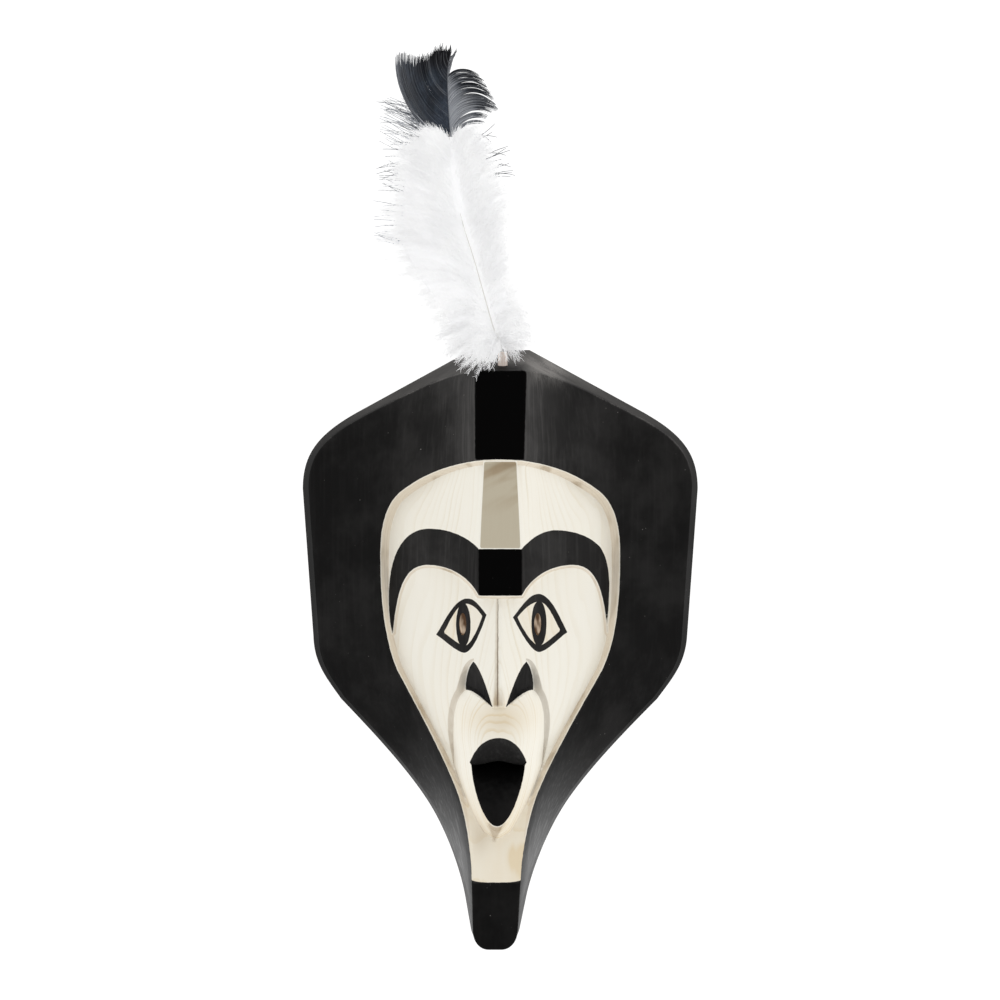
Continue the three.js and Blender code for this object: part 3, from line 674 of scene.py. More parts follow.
def carve_blank(line_step, face_step, hood_step):
    """The block with its carved front, leaning sides and flat back, before it is hollowed."""
    places, z, faces, fixed = triangulate(plan_front(line_step, face_step, hood_step))
    across = np.abs(places[:, 0])
    y = places[:, 1]
    in_face = inside(across, y, DRAWING.rim)
    z = even_out(places, z, faces, fixed | in_face, passes=60, amount=0.8)
    z = even_out(places, z, faces, fixed | ~in_face, passes=20, amount=0.8)
    ring = np.array([int(np.argmin(((places - p) ** 2).sum(axis=1))) for p in DRAWING.side])
    edge = np.zeros(len(places), bool)
    edge[ring] = True
    by_ledge = distance(across, y, DRAWING.ledge) < LEDGE_WALL + 0.1
    low_rim = (distance(across, y, DRAWING.rim) < 0.25) & (y < CRISP_BELOW_Y)
    z = even_out(places, z, faces, edge | by_ledge | low_rim, passes=2, amount=0.45)
    vertices = np.c_[places, z]
    upper_edge = np.c_[DRAWING.side, z[ring] - WALL_DROP]
    lower_edge = np.c_[DRAWING.back, np.zeros(len(ring))]
    rows = [ring]
    for down in WALL_ROWS:
        rows.append(np.arange(len(ring)) + len(vertices))
        vertices = np.vstack([vertices, mix(upper_edge, lower_edge, down)])
    vertices[:, 0] += lean(vertices[:, 1])
    polygons = faces.tolist()
    for upper, lower in zip(rows[:-1], rows[1:]):
        polygons += np.c_[upper, np.roll(upper, -1), np.roll(lower, -1), lower].tolist()
    polygons.append(rows[-1][::-1].tolist())
    blank = new_object("wind_mask", vertices * MM, polygons)
    blank.data.polygons[len(polygons) - 1].material_index = 1
    return blank


def loft(name, rings):
    """A closed skin over rings of points, each with as many."""
    count = len(rings[0])
    faces = []
    for i in range(len(rings) - 1):
        for j in range(count):
            a = i * count + j
            b = i * count + (j + 1) % count
            faces.append((a, b, b + count, a + count))
    faces.append(list(range(count))[::-1])
    faces.append([(len(rings) - 1) * count + j for j in range(count)])
    return new_object(name, np.vstack(rings) * MM, faces)


def hollow_cutter():
    """The hollow behind the face: an egg that opens on the back."""
    u = np.sin(np.linspace(-1.5, 1.42, 61))
    reach = np.abs(u)
    below = (1 - reach**1.6) ** 0.75
    above = np.sqrt(1 - np.minimum(reach, 1) ** 2.4)
    half = HOLLOW["half"] * np.where(u < 0, below, above)
    depth = HOLLOW["depth"] * (1 - reach**4)
    y = HOLLOW["y"] + u * np.where(u < 0, HOLLOW["bottom"], HOLLOW["top"])
    s = np.sin(np.linspace(-1, 1, 49) * math.pi / 2)
    rings = []
    for row in range(len(u)):
        arch = np.c_[half[row] * s, s * 0 + y[row], depth[row] * (1 - np.abs(s) ** 1.4)]
        rings.append(np.vstack([arch, [[half[row], y[row], -5], [-half[row], y[row], -5]]]))
    return loft("hollow", rings)


def round_cutter(place, half_width, half_height, length, turned=False):
    """A rod to cut with, which stands on the back, or is turned to lie along the mask."""
    bpy.ops.object.select_all(action="DESELECT")
    bpy.ops.mesh.primitive_cylinder_add(
        vertices=40,
        radius=1,
        depth=length * MM,
        location=[value * MM for value in place],
        rotation=(math.pi / 2 if turned else 0, 0, 0),
    )
    cutter = bpy.context.object
    cutter.scale = (half_width * MM, half_height * MM, 1)
    bpy.ops.object.transform_apply(location=True, rotation=True, scale=True)
    return cutter


def cut(piece, cutter):
    """Takes the cutter's shape out of a piece and leaves the bare wood's material on the cut."""
    tidy_normals(cutter)
    for material in piece.data.materials:
        cutter.data.materials.append(material)
    for polygon in cutter.data.polygons:
        polygon.material_index = 1
    select_only(piece)
    cutting = piece.modifiers.new("Cut", "BOOLEAN")
    cutting.operation = "DIFFERENCE"
    cutting.solver = "MANIFOLD"
    cutting.object = cutter
    before = len(piece.data.polygons)
    bpy.ops.object.modifier_apply(modifier=cutting.name)
    if len(piece.data.polygons) == before:
        raise RuntimeError("a cut took nothing out of " + piece.name)
    bpy.data.objects.remove(cutter)


def box_depth(x, y, left, right, bottom, top):
    """Distance from the edge of an upright rectangle, above zero inside it."""
    return np.minimum(np.minimum(x - left, right - x), np.minimum(y - bottom, top - y))


def brow_box_depth(x, y):
    """How far each place lies inside the black box between the brows."""
    return box_depth(x, y, -BROW_BOX_HALF, BROW_BOX_HALF, BROW_Y, BAR_PAINT_Y)


def mouth_depth(x, y):
    half = np.vstack([DRAWING.mouth, [[-20, MOUTH_FOOT_Y], [-20, MOUTH_TOP_Y]]])
    return depth_in(np.abs(x), y, half) + EDGE_OVERLAP


def black_paint(x, y):
    """How far each place lies inside the black paint, in millimetres."""
    across = np.abs(x)
    areas = [
        -depth_in(across, y, np.vstack([DRAWING.rim, [[-60, CHIN_FRONT_Y], [-60, FACE_TOP_Y]]])),
        brow_box_depth(x, y),
        chin_paint(x) - y,
        depth_in(across, y, DRAWING.nostril) + EDGE_OVERLAP,
        mouth_depth(x, y),
    ]
    for name, side in SIDES:
        brow = np.vstack([trace(name + "_brow", BROW_LINE_STEP), DRAWING.brow[:0:-1]])
        areas.append(depth_in(x * side, y, brow))
        eye = depth_in(x * side, y, trace(name + "_eye", EYE_LINE_STEP))
        white = depth_in(x * side, y, trace(name + "_eye_white", EYE_LINE_STEP))
        areas.append(np.minimum(eye, -white) + EDGE_OVERLAP)
    return np.maximum.reduce(areas)


def unsheened_black(x, y):
    """How far each place lies inside the black kept without the haze and painted sheen: the bar, the brow
    box, and the low mouth, which is kept dark as painted shade under the ledge.
    """
    rise = np.clip((y - FACE_TOP_Y) / (CREST_FRONT_Y - FACE_TOP_Y), 0, 1)
    left = -BAR_HALF - BAR_UNSHEENED_OVER["left"]
    right = BAR_HALF + (BAR_UNSHEENED_OVER["right"] + BAR_UNSHEENED_OVER["more_at_top"] * rise)
    bar = box_depth(x, y, left, right, FACE_TOP_Y, CREST_FRONT_Y)
    ledge_y = np.interp(np.abs(x), DRAWING.ledge[::-1, 0], DRAWING.ledge[::-1, 1])
    under_ledge = np.minimum(ledge_y - y, (y - MOUTH_SHADE_END_Y) / MOUTH_SHADE_FADE)
    shaded_mouth = np.minimum(mouth_depth(x, y), under_ledge)
    return np.maximum.reduce([bar, brow_box_depth(x, y), shaded_mouth])


def bevels_bare_and_shaded(x, y):
    """How far each place lies inside the cut walls that have little paint, in millimetres; on the fold
    walls and the lip's under facet that colour is also painted shade.
    """
    across = np.abs(x)
    rim_wall = rim_width(y) - distance(across, y, DRAWING.rim)
    rim_wall = np.minimum(rim_wall, (y - RIM_WALL_END_Y) / BEVEL_FADE)
    to_brow = distance(across, y, DRAWING.brow)
    in_socket = inside(across, y, DRAWING.sockets)
    brow_wall = np.where(in_socket, np.minimum(to_brow, BROW_WALL - to_brow), -to_brow) + EDGE_OVERLAP
    brow_wall = np.minimum(brow_wall, (y - BROW_WALL_END_Y) / BEVEL_FADE)
    folds = np.minimum(depth_in(across, y, DRAWING.folds), -depth_in(across, y, DRAWING.lips))
    folds = np.minimum(folds, -depth_in(across, y, DRAWING.nostril)) + EDGE_OVERLAP
    folds = np.where(across < NOSE_TIP_HALF, -1.0, folds)
    return np.maximum.reduce([rim_wall, brow_wall, folds, depth_in(x, y, LIP_FACET)])


def spot(x, y, mark, power=2):
    """A soft spot: one at its middle, and falling to nothing around it."""
    middle_x, middle_y, half_width, half_height = mark
    return np.exp(-(((x - middle_x) / half_width) ** power) - ((y - middle_y) / half_height) ** 2)


def stained_and_shaded_bevels(x, y):
    """How much painted shade greys the folds beside the muzzle, more on the right, and how dark the other
    bare places are: stains on the rim, brownish spots on the chin and lip, and painted shade on the lip's
    under facet.
    """
    in_folds = (depth_in(np.abs(x), y, DRAWING.folds) > -1) & (y > FOLD_SHADE["end_y"])
    fold_shade_amount = np.where(x > 0, FOLD_SHADE["right"], FOLD_SHADE["left"])
    in_facet = depth_in(x, y, LIP_FACET) > -1
    on_rim = distance(np.abs(x), y, DRAWING.rim) < rim_width(y) + 1
    rim_stain = np.where(x < 0, RIM_STAIN["left"], RIM_STAIN["right"])
    rim_stain = rim_stain * np.exp(-(((y - RIM_STAIN["y"]) / RIM_STAIN["half"]) ** 2))
    stain_and_shade = np.where(on_rim, rim_stain, 0.5 * spot(x, y, CHIN_LEFT_SPOT) + 0.3 * spot(x, y, LIP_SPOT_UNDER_NOSE))
    return np.where(in_folds, fold_shade_amount, 0.0), np.where(in_facet, 0.6, stain_and_shade)


def store(piece, name, values):
    piece.data.attributes.new(name, "FLOAT", "POINT").data.foreach_set("value", values.astype(np.float32))


def of_points(piece, name):
    """The places or the normals of a mesh's points."""
    values = np.empty(len(piece.data.vertices) * 3)
    piece.data.vertices.foreach_get(name, values)
    return values.reshape(-1, 3)


def blurred(piece, values, rounds=5):
    """Values on the points of a mesh, evened out along its edges."""
    ends = np.empty(len(piece.data.edges) * 2, np.int32)
    piece.data.edges.foreach_get("vertices", ends)
    one, other = ends.reshape(-1, 2).T
    neighbours = np.bincount(ends, minlength=len(values))
    for _ in range(rounds):
        total = np.bincount(one, values[other], len(values)) + np.bincount(other, values[one], len(values))
        values = (values + total) / (1 + neighbours)
    return values


# Haze and painted sheen on the black paint: within the face, on the hood, beside the bar, and low on the
# mask. The haze is cloudy paint and painted sheen; beside the bar it is painted sheen on the flanks,
# stronger on the right.
HAZE_AND_SHEEN = {"face": 0.62, "hood": 0.27, "beside_left": 1.15, "beside_right": 1.33, "low": 0.16}


def mark_paint(piece):
    """Stores on the mask how far each point is inside each finish."""
    x, y = of_points(piece, "co")[:, :2].T / MM
    x = x - lean(y)
    fold_shade, stain_and_shade = stained_and_shaded_bevels(x, y)
    steep = blurred(piece, smooth((0.85 - np.abs(of_points(piece, "normal")[:, 2])) / 0.5))
    # Painted sheen on the flanks beside the bar, stronger on the right, where the light is stronger
    beside = np.where(x > 0, HAZE_AND_SHEEN["beside_right"], HAZE_AND_SHEEN["beside_left"])
    haze = np.where(inside(np.abs(x), y, DRAWING.rim), HAZE_AND_SHEEN["face"], mix(HAZE_AND_SHEEN["hood"], beside, ridge(x, y)))
    low = (y < CHIN_PAINT_Y) | ((mouth_depth(x, y) > 0) & (y < FOLD_END_Y))
    bar_ends = np.minimum(FACE_TOP_Y - 1 - y, y - BAR_PAINT_Y)
    eyes = np.maximum(depth_in(x, y, trace("right_eye")), depth_in(-x, y, trace("left_eye")))
    warm = spot(x, y, LIP_WARMTH) + smooth((WARM_FROM_Y - y) / WARM_FADE) + 0.45 * smooth(eyes / 2)
    marks = {
        "black_paint": black_paint(x, y),
        "bevel_bare_and_shaded": bevels_bare_and_shaded(x, y),
        "unsheened_black": unsheened_black(x, y),
        "fold_shade": fold_shade,
        "stain_and_shade": stain_and_shade,
        "wall": np.clip(-depth_in(x, y, DRAWING.side), -3, 3),
        "rubbed": spot(x, y, CREST_RUB),
        "darker_crest_end": spot(x, y, CREST_DARK_SPOT, power=4),
        "steep": np.where(depth_in(np.abs(x), y, DRAWING.rim) > 0.3, 0, steep),
        "haze": np.where(low, HAZE_AND_SHEEN["low"], haze),
        "grey_bar": np.minimum(bar_half(y) - np.abs(x), bar_ends),
        "warm": np.clip(warm, 0, 1),
    }
    for name, values in marks.items():
        store(piece, name, values)


def arithmetic(operation, swapped=False):
    """A way to use an operator on wires, which adds a Math node."""

    def operate(wire, *others):
        values = (*others, wire) if swapped else (wire, *others)
        return wire.finish.maths(operation, *values)

    return operate


class Wire:
    """A value from a node, which the usual arithmetic works on."""

    def __init__(self, finish, socket):
        self.finish = finish
        self.socket = socket

    __add__ = __radd__ = arithmetic("ADD")
    __sub__ = arithmetic("SUBTRACT")
    __rsub__ = arithmetic("SUBTRACT", swapped=True)
    __mul__ = __rmul__ = arithmetic("MULTIPLY")
    __truediv__ = arithmetic("DIVIDE")
    __pow__ = arithmetic("POWER")
    __abs__ = arithmetic("ABSOLUTE")


class Finish:
    """A material, and the nodes that make it."""

    def __init__(self, name, roughness=0.6, tree=None):
        if tree is None:
            self.material = bpy.data.materials.new(name)
            self.material.use_nodes = True
            tree = self.material.node_tree
            self.shader = tree.nodes["Principled BSDF"]
            self.use("Roughness", roughness)
        self.tree = tree

    def feed(self, socket, value):
        if isinstance(value, Wire):
            self.tree.links.new(value.socket, socket)
        elif hasattr(value, "__len__") and len(value) == 3 and len(socket.default_value) == 4:
            socket.default_value = (*value, 1)
        else:
            socket.default_value = value

    def use(self, name, value):
        self.feed(self.shader.inputs[name], value)

    def node(self, kind, settings, sockets, output=0):
        """Any node, from its type, its settings, and the values or links of its sockets."""
        made = self.tree.nodes.new(kind)
        for name, value in settings.items():
            setattr(made, name, value)
        for name, value in sockets.items():
            self.feed(made.inputs[name], value)
        return Wire(self, made.outputs[output])

    def maths(self, operation, *values):
        return self.node("ShaderNodeMath", {"operation": operation}, dict(enumerate(values)))

    def colour(self, a, b, share):
        return self.node("ShaderNodeMix", {"data_type": "RGBA"}, {0: share, 6: a, 7: b}, 2)

    def between(self, value, low, high):
        """Zero below low and one above high, with a soft change between."""
        sockets = {"Value": value, "From Min": low, "From Max": high}
        return self.node("ShaderNodeMapRange", {"interpolation_type": "SMOOTHSTEP"}, sockets)

    def value_of(self, name):
        return self.node("ShaderNodeAttribute", {"attribute_name": name}, {}, 2)

    def place(self, *stretch):
        """Object coordinates in millimetres, drawn out along the axes."""
        at = self.node("ShaderNodeTexCoord", {}, {}, 3)
        factors = [factor / MM for factor in stretch or (1, 1, 1)]
        return self.node("ShaderNodeVectorMath", {"operation": "MULTIPLY"}, {0: at, 1: factors})

    def axes(self, names, place=None):
        """The named coordinates of a place, in millimetres of the object if none is given."""
        place = place or self.place()
        return [self.node("ShaderNodeSeparateXYZ", {}, {0: place}, "xyz".index(name)) for name in names]

    def joined(self, *values):
        return self.node("ShaderNodeCombineXYZ", {}, dict(enumerate(values)))

    def noise(self, place, detail=2.0, roughness=0.5):
        sockets = {"Vector": place, "Scale": 1.0, "Detail": detail, "Roughness": roughness}
        return self.node("ShaderNodeTexNoise", {}, sockets)

    def grain(self, across, along, detail=2.0, roughness=0.5):
        """Noise of the object, by how fast it changes in a millimetre across and along the mask."""
        return self.noise(self.place(across, along, across), detail, roughness)

    def bump(self, height, depth):
        """Raises the surface by height times depth, in millimetres."""
        sockets = {"Strength": 1.0, "Distance": MM, "Height": height * depth}
        self.use("Normal", self.node("ShaderNodeBump", {}, sockets))


# The heart of the tree lies behind the back. Over the lips its rings lie closer together.
PITH_X = 6
PITH_BEHIND = 190
LIP_RINGS_FROM = 98
RING_WIDTH = 3.1


def growth_rings(finish):
    """Darker late wood of the growth rings, which lie nearly flat behind the face."""
    x, z = finish.axes("xz")
    drift = finish.grain(0.02, 0.006) - 0.5
    ripple = finish.grain(0.09, 0.012) - 0.5
    away = finish.maths("SQRT", (x - PITH_X) ** 2.0 + (z + PITH_BEHIND) ** 2.0)
    away = away + finish.maths("MAXIMUM", z - LIP_RINGS_FROM, 0) * 0.45
    ring = (away + x * 0.03 + drift * 10 + ripple * 3.2) / RING_WIDTH
    phase = finish.maths("FRACT", ring)
    year = finish.noise(finish.joined(ring * 0.61), 1.0)
    patch = finish.grain(0.035, 0.015, 1.0)
    late = finish.between(phase, 0.3, 0.93) ** 2.0 * (1 - finish.between(phase, 0.93, 1.0))
    return late * finish.between(year, 0.35, 0.68) * (0.45 + finish.between(patch, 0.35, 0.65) * 0.75)


# The painted shade down the nose: where it starts, how far it runs, and how it fades at its ends
NOSE_SHADE_LINE = {"top": -178.0, "length": 86, "fade": 3}


def nose_crest_shade(finish, settings, white, x, y, wobble):
    """Painted shade down the nose: a dark line on its narrow crest, which faces the viewer, a soft brown
    painted shade along its left side, and painted shade at its tip.
    """
    down = NOSE_SHADE_LINE["top"] - y
    foot = finish.between(down, NOSE_SHADE_LINE["length"] - NOSE_SHADE_LINE["fade"], NOSE_SHADE_LINE["length"])
    ends = finish.between(down, 0, NOSE_SHADE_LINE["fade"]) * (1 - foot)
    aside = x + 1.8 + down * 0.004 + wobble * 0.9
    core = finish.between(0.25 + down * 0.004 - abs(aside), -0.35, 0.35)
    shade = finish.between(0.5 + down * 0.018 - abs(aside + 0.7), -0.9, 0.9)
    tip = finish.between(down, 66, 84) * finish.between(4.5 - abs(x + 1.5), -1.5, 2.5)
    white = finish.colour(white, settings.bevel_stain_and_shade, (shade * 0.45 + tip * 0.5) * ends)
    return finish.colour(white, settings.nose_shade, core * ends * 0.8)


def worn_edges_and_sheen(finish, y, smoke, fibre):
    """How much grey the black paint shows: wear along its upper edge and beside the crest, and painted
    sheen on the upper side walls.
    """
    outside = finish.value_of("wall")
    edge = 1 - finish.between(abs(outside - 0.3), 0.1, 1.3)
    top = finish.between(y, -110, -30)
    scuffed = finish.between(smoke + fibre * 0.5, 0.72, 0.98)
    # Painted sheen: grey on the upper side walls, more towards the crest
    wall_sheen = finish.between(outside, 0.5, 1.8) * (0.08 + finish.between(y, -70, 10) * 0.16) * (0.5 + smoke)
    beside = finish.value_of("rubbed") * (0.3 + finish.between(smoke + fibre * 0.6, 0.7, 0.95) * 0.9)
    return top * (edge * (0.02 + scuffed * 0.5) + wall_sheen) + beside


def with_pupils(finish, painted, x, y):
    """How far each place is inside the black paint, once the pupils are drawn too."""
    for middle_x, middle_y, half_width, half_height in PUPILS:
        out = ((x - middle_x) / half_width) ** 2.0 + ((y - middle_y) / half_height) ** 2.0
        pupil = (1 - finish.maths("SQRT", out)) * half_width
        painted = finish.maths("MAXIMUM", painted, pupil)
    return painted


def pale_ground(finish, settings, x, y, rings, fibre, wobble, painted):
    """Colour of the face under the black: whitewash, scraped bevels and the grey bar, with painted shade in
    the folds, down the nose and on the lip's under facet, and a painted highlight.
    """
    cloud = finish.grain(0.03, 0.012, 3.0, 0.55)
    warm = finish.value_of("warm")
    stain_and_shade = finish.value_of("stain_and_shade")
    white = finish.colour(settings.whitewash, settings.ring_tint, rings * 0.38 + fibre * 0.1)
    cream = finish.between(cloud, 0.25, 0.7) * (0.08 + warm * 0.3)
    white = finish.colour(white, settings.lip_tint, cream + warm * (0.38 + rings * 0.9))
    # Stains on the white, and painted shade on the lip's under facet
    white = finish.colour(white, settings.bevel_stain_and_shade, stain_and_shade * (0.3 + cloud * 0.6))
    # Painted shade down the crest of the nose
    white = nose_crest_shade(finish, settings, white, x, y, wobble)
    # Bevels darkened by stains, rings and grain, and on the lip's under facet by painted shade
    stained_and_shaded = finish.between(finish.grain(0.06, 0.03), 0.48, 0.75) * 0.6 + rings * 0.3 + stain_and_shade
    bevel = finish.colour(settings.bevel, settings.bevel_stain_and_shade, stained_and_shaded)
    # Painted shade on the fold walls beside the muzzle
    bevel = finish.colour(bevel, settings.fold_shade_colour, finish.value_of("fold_shade"))
    bevel = finish.colour(bevel, settings.whitewash, finish.between(fibre, 0.5, 0.8) * 0.35)
    # Painted highlight: a pale line on the bevels along the edge of the black
    bevel = finish.colour(bevel, settings.whitewash, finish.between(painted + wobble, -1.1, -0.5) * 0.65)
    smear = finish.noise(finish.joined(x * 0.022, (y - x * 0.5) * 0.068, 3.0))
    smear = finish.between(smear, 0.4, 0.66) * finish.between(y, -120, -84)
    bar = finish.colour(settings.grey_bar, settings.bar_streak, smear * 0.62 + fibre * 0.12)
    in_bar = finish.value_of("grey_bar")
    bar = finish.colour(settings.whitewash, bar, finish.between(in_bar, 0.4, 1.0))
    is_bevel = finish.between(finish.value_of("bevel_bare_and_shaded") + wobble * 0.5, -0.3, 0.3)
    is_bar = finish.between(in_bar + wobble * 0.5, -0.3, 0.3)
    return finish.colour(finish.colour(white, bevel, is_bevel), bar, is_bar)


def painted_wood(settings):
    """Whitewashed face, scraped bevels and black satin hood, by how far each place is inside each, with
    painted shade on the face and haze and painted sheen on the black.
    """
    finish = Finish("painted_wood")
    finish.use("Specular IOR Level", 0.0)
    x, y = finish.axes("xy")
    rings = growth_rings(finish)
    fibre = finish.grain(0.9, 0.02, 3.0, 0.6)
    wobble = finish.grain(0.25, 0.25) - 0.5
    painted = with_pupils(finish, finish.value_of("black_paint"), x, y)
    ground = pale_ground(finish, settings, x, y, rings, fibre, wobble, painted)

    smoke = finish.grain(0.022, 0.018, 4.0, 0.62)
    mottle = finish.between(smoke, 0.38, 0.68)
    streak = finish.between(finish.grain(0.35, 0.012, 3.0, 0.6), 0.45, 0.75)
    speck = finish.between(finish.grain(0.45, 0.45, 1.0), 0.79, 0.84)
    # Away from the unsheened black: there the haze, painted sheen, wear and gloss are left off, and the low
    # mouth stays dark as painted shade
    outside_unsheened = 1 - finish.between(finish.value_of("unsheened_black") + wobble * 0.8, -0.7, 0.4)
    darker_crest_end = finish.value_of("darker_crest_end")
    # Haze and painted sheen: grey over the black where the paint is cloudy and where its slopes would catch
    # a sheen
    haze = finish.value_of("haze")
    clouds = 0.35 + haze * 0.35 + mottle * (0.95 - haze * 0.5) + streak * (0.1 + haze * 0.5)
    haze = haze * clouds * 0.62 * outside_unsheened * (1 - darker_crest_end * 0.8)
    worn_and_sheen = worn_edges_and_sheen(finish, y, smoke, fibre) * outside_unsheened * (1 - darker_crest_end)
    black = finish.colour(settings.black, settings.black_haze_and_sheen, haze)
    black = finish.colour(black, settings.worn_dust_and_sheen, worn_and_sheen)
    black = finish.colour(black, settings.worn_dust_and_sheen, speck * 0.7)
    is_black = finish.between(painted + wobble * 0.5, -0.15, 0.15)
    finish.use("Base Color", finish.colour(ground, black, is_black))
    dull = 0.62 - rings * 0.06
    satin = 0.36 + mottle * 0.14 + streak * 0.03
    finish.use("Roughness", dull + (satin - dull) * is_black)
    low = (1 - finish.between(y, -400, -270)) * finish.value_of("steep")
    gloss = settings.paint_gloss + low * (0.76 + streak * 0.5) * settings.chin_sheen
    finish.use("Coat Weight", gloss * is_black * outside_unsheened)
    finish.use("Coat Roughness", 0.3)
    finish.bump(rings * 0.5 + fibre * 0.6 + finish.grain(0.05, 0.04, 1.0) * 2.5, 0.12)
    return finish.material


def bare_wood(settings):
    """The unpainted back, hollow and slits."""
    finish = Finish("bare_wood", roughness=0.75)
    rings = growth_rings(finish)
    fibre = finish.grain(0.8, 0.02, 3.0, 0.6)
    gouge = finish.grain(0.07, 0.025, 1.0)
    finish.use("Base Color", finish.colour(settings.bare, settings.bare_dark, rings * 0.6 + fibre * 0.3))
    finish.bump(rings * 0.4 + fibre * 0.6 + gouge * 4, 0.15)
    return finish.material


def peg_wood():
    finish = Finish("peg_wood", roughness=0.55)
    fibre = finish.grain(1.2, 0.06, 3.0, 0.6)
    grain = finish.between(fibre, 0.4, 0.7)
    finish.use("Base Color", finish.colour((0.9, 0.8, 0.73), (0.74, 0.6, 0.52), grain))
    finish.bump(fibre, 0.1)
    return finish.material


def down_finish(settings):
    """White down, with strands greyer at random, its core under the strands greyed as painted shade, and a
    painted glow.
    """
    finish = Finish("white_down", roughness=0.9)
    patch = finish.between(finish.grain(0.05, 0.03), 0.35, 0.7)
    shade = finish.value_of("tone") * 0.5 + patch * 0.5
    finish.use("Base Color", finish.colour(settings.down_grey_and_shade, settings.down, shade))
    # Painted glow: the down gives off light, standing in for light that passes through it
    finish.use("Emission Color", settings.down)
    finish.use("Emission Strength", settings.down_painted_glow)
    return finish.material


def quill_finish():
    finish = Finish("quill", roughness=0.4)
    finish.use("Base Color", finish.colour((0.86, 0.85, 0.83), (0.7, 0.69, 0.66), finish.grain(0.5, 0.05)))
    return finish.material


def dark_finish(settings):
    """Blue-black barbs, bluer low on the vane, and paler where a strand has less of its dark colour."""
    finish = Finish("dark_vane", roughness=0.45)
    finish.use("Specular IOR Level", 0.15)
    x, y = finish.axes("xy")
    low = 1 - finish.between(y + x * 0.35, 201, 224)
    patch = 0.35 + finish.between(finish.grain(0.1, 0.04), 0.3, 0.7)
    ink = finish.colour(settings.ink, settings.ink_blue, low * patch * finish.grain(1.5, 0.4))
    finish.use("Base Color", finish.colour(settings.pale_vane, ink, finish.value_of("tone")))
    return finish.material


# A strand's section, as offsets along its width and its thickness
BLADE = ((1, 0), (0, 1), (-1, 0), (0, -1))
THREAD = ((1, -0.5), (-1, -0.5), (0, 1))


def curve_through(points, count):
    """A smooth path through a few points, with count places along it."""
    points = np.array(points, float)
    before = np.vstack([2 * points[0] - points[1], points[:-2], points[-2:-1]])[: len(points) - 1]
    after = np.vstack([points[2:], 2 * points[-1] - points[-2]])
    t = np.linspace(0, len(points) - 1, count)
    i = np.minimum(t.astype(int), len(points) - 2)
    t = (t - i)[:, None]
    a, b, c, d = before[i], points[i], points[i + 1], after[i]
    straight = 2 * b + (c - a) * t
    return 0.5 * (straight + (2 * a - 5 * b + 4 * c - d) * t**2 + (3 * b - a - 3 * c + d) * t**3)


def bends(start, first, second, end, steps):
    """Cubic curves, one for each row of four points."""
    t = np.linspace(0, 1, steps)[None, :, None]
    return cubic(t, *(np.asarray(p)[:, None, :] for p in (start, first, second, end)))


def skin(paths, half_widths, thickness, section):
    """Closed strands along paths: rings of the section, with a cap on each end."""
    count, rings, _ = paths.shape
    ahead = np.gradient(paths, axis=1)
    ahead /= np.linalg.norm(ahead, axis=2, keepdims=True) + 1e-9
    across = np.cross(ahead, (0, 0, 1))
    across /= np.linalg.norm(across, axis=2, keepdims=True) + 1e-9
    outward = np.cross(across, ahead)
    sides = len(section)
    corners = [
        paths + across * half_widths[..., None] * u + outward * (half_widths * thickness)[..., None] * v
        for u, v in section
    ]
    vertices = np.stack(corners, axis=2).reshape(-1, 3)
    pattern = []
    for ring in range(rings - 1):
        for k in range(sides):
            a = ring * sides + k
            b = ring * sides + (k + 1) % sides
            pattern += [(a, b, b + sides), (a, b + sides, a + sides)]
    last = (rings - 1) * sides
    for k in range(1, sides - 1):
        pattern += [(0, k + 1, k), (last, last + k, last + k + 1)]
    first = np.arange(count)[:, None, None] * rings * sides
    faces = (np.array(pattern)[None] + first).reshape(-1, 3)
    return vertices, faces


class Strands:
    """Gathers strands into one mesh, with a tone at each point."""

    def __init__(self):
        self.vertices = []
        self.faces = []
        self.tones = []
        self.materials = []
        self.count = 0

    def add(self, paths, half_widths, thickness, section, tone, material=0):
        vertices, faces = skin(paths, half_widths, thickness, section)
        self.vertices.append(vertices)
        self.faces.append(faces + self.count)
        self.tones.append(np.repeat(np.broadcast_to(tone, paths.shape[:2]).ravel(), len(section)))
        self.materials.append(np.full(len(faces), material))
        self.count += len(vertices)

    def build(self, name, materials):
        vertices = np.vstack(self.vertices)
        piece = new_object(name, vertices * MM, np.vstack(self.faces))
        store(piece, "tone", np.concatenate(self.tones))
        for material in materials:
            piece.data.materials.append(material)
        piece.data.polygons.foreach_set("material_index", np.concatenate(self.materials))
        select_only(piece)
        bpy.ops.object.shade_smooth()
        return piece


QUILL_RADIUS = 0.9
DARK_Z = 66.0
PLUME_SHAFT = [
    (PEG["x"] - 0.4, PEG["to"] - 5.5, PEG["z"] + 1.6),
    (PEG["x"] - 0.8, PEG["to"] + 2, PEG["z"] + 1.8),
    (-5.8, 30, 77),
    (-19.4, 78, 78),
    (-31, 117, 78),
    (-37, 160, 78),
    (-40, 178, 78),
]
DARK_SHAFT = [
    (PEG["x"] + 0.4, PEG["to"] - 5.5, PEG["z"] - 1.6),
    (PEG["x"] + 0.2, PEG["to"] + 2, PEG["z"] - 1.8),
    (-5, 30, 67),
    (-19, 78, DARK_Z),
    (-31, 117, DARK_Z),
    (-38.5, 175, DARK_Z),
    (-41, 225, DARK_Z),
    (-37.5, 246, 66.5),
]
plume_left = profile(
    (184, -64), (166, -79), (127, -84), (89, -83), (65, -69), (42, -55), (19, -45), (6, -36)
)
plume_right = profile((184, -18), (166, -7), (127, 3), (89, 5), (65, 9), (42, 18), (19, 21), (8, 16))
PLUME_TOP = 181.0
PLUME_ROOTS = (13.0, 172.0)
TUFTS = 170
BROAD_BARBS = 300
CURLED_BARBS = 210
SLIVER_BARBS = 30
TOP_HAIRS = 46
PALE_HAIRS = 40
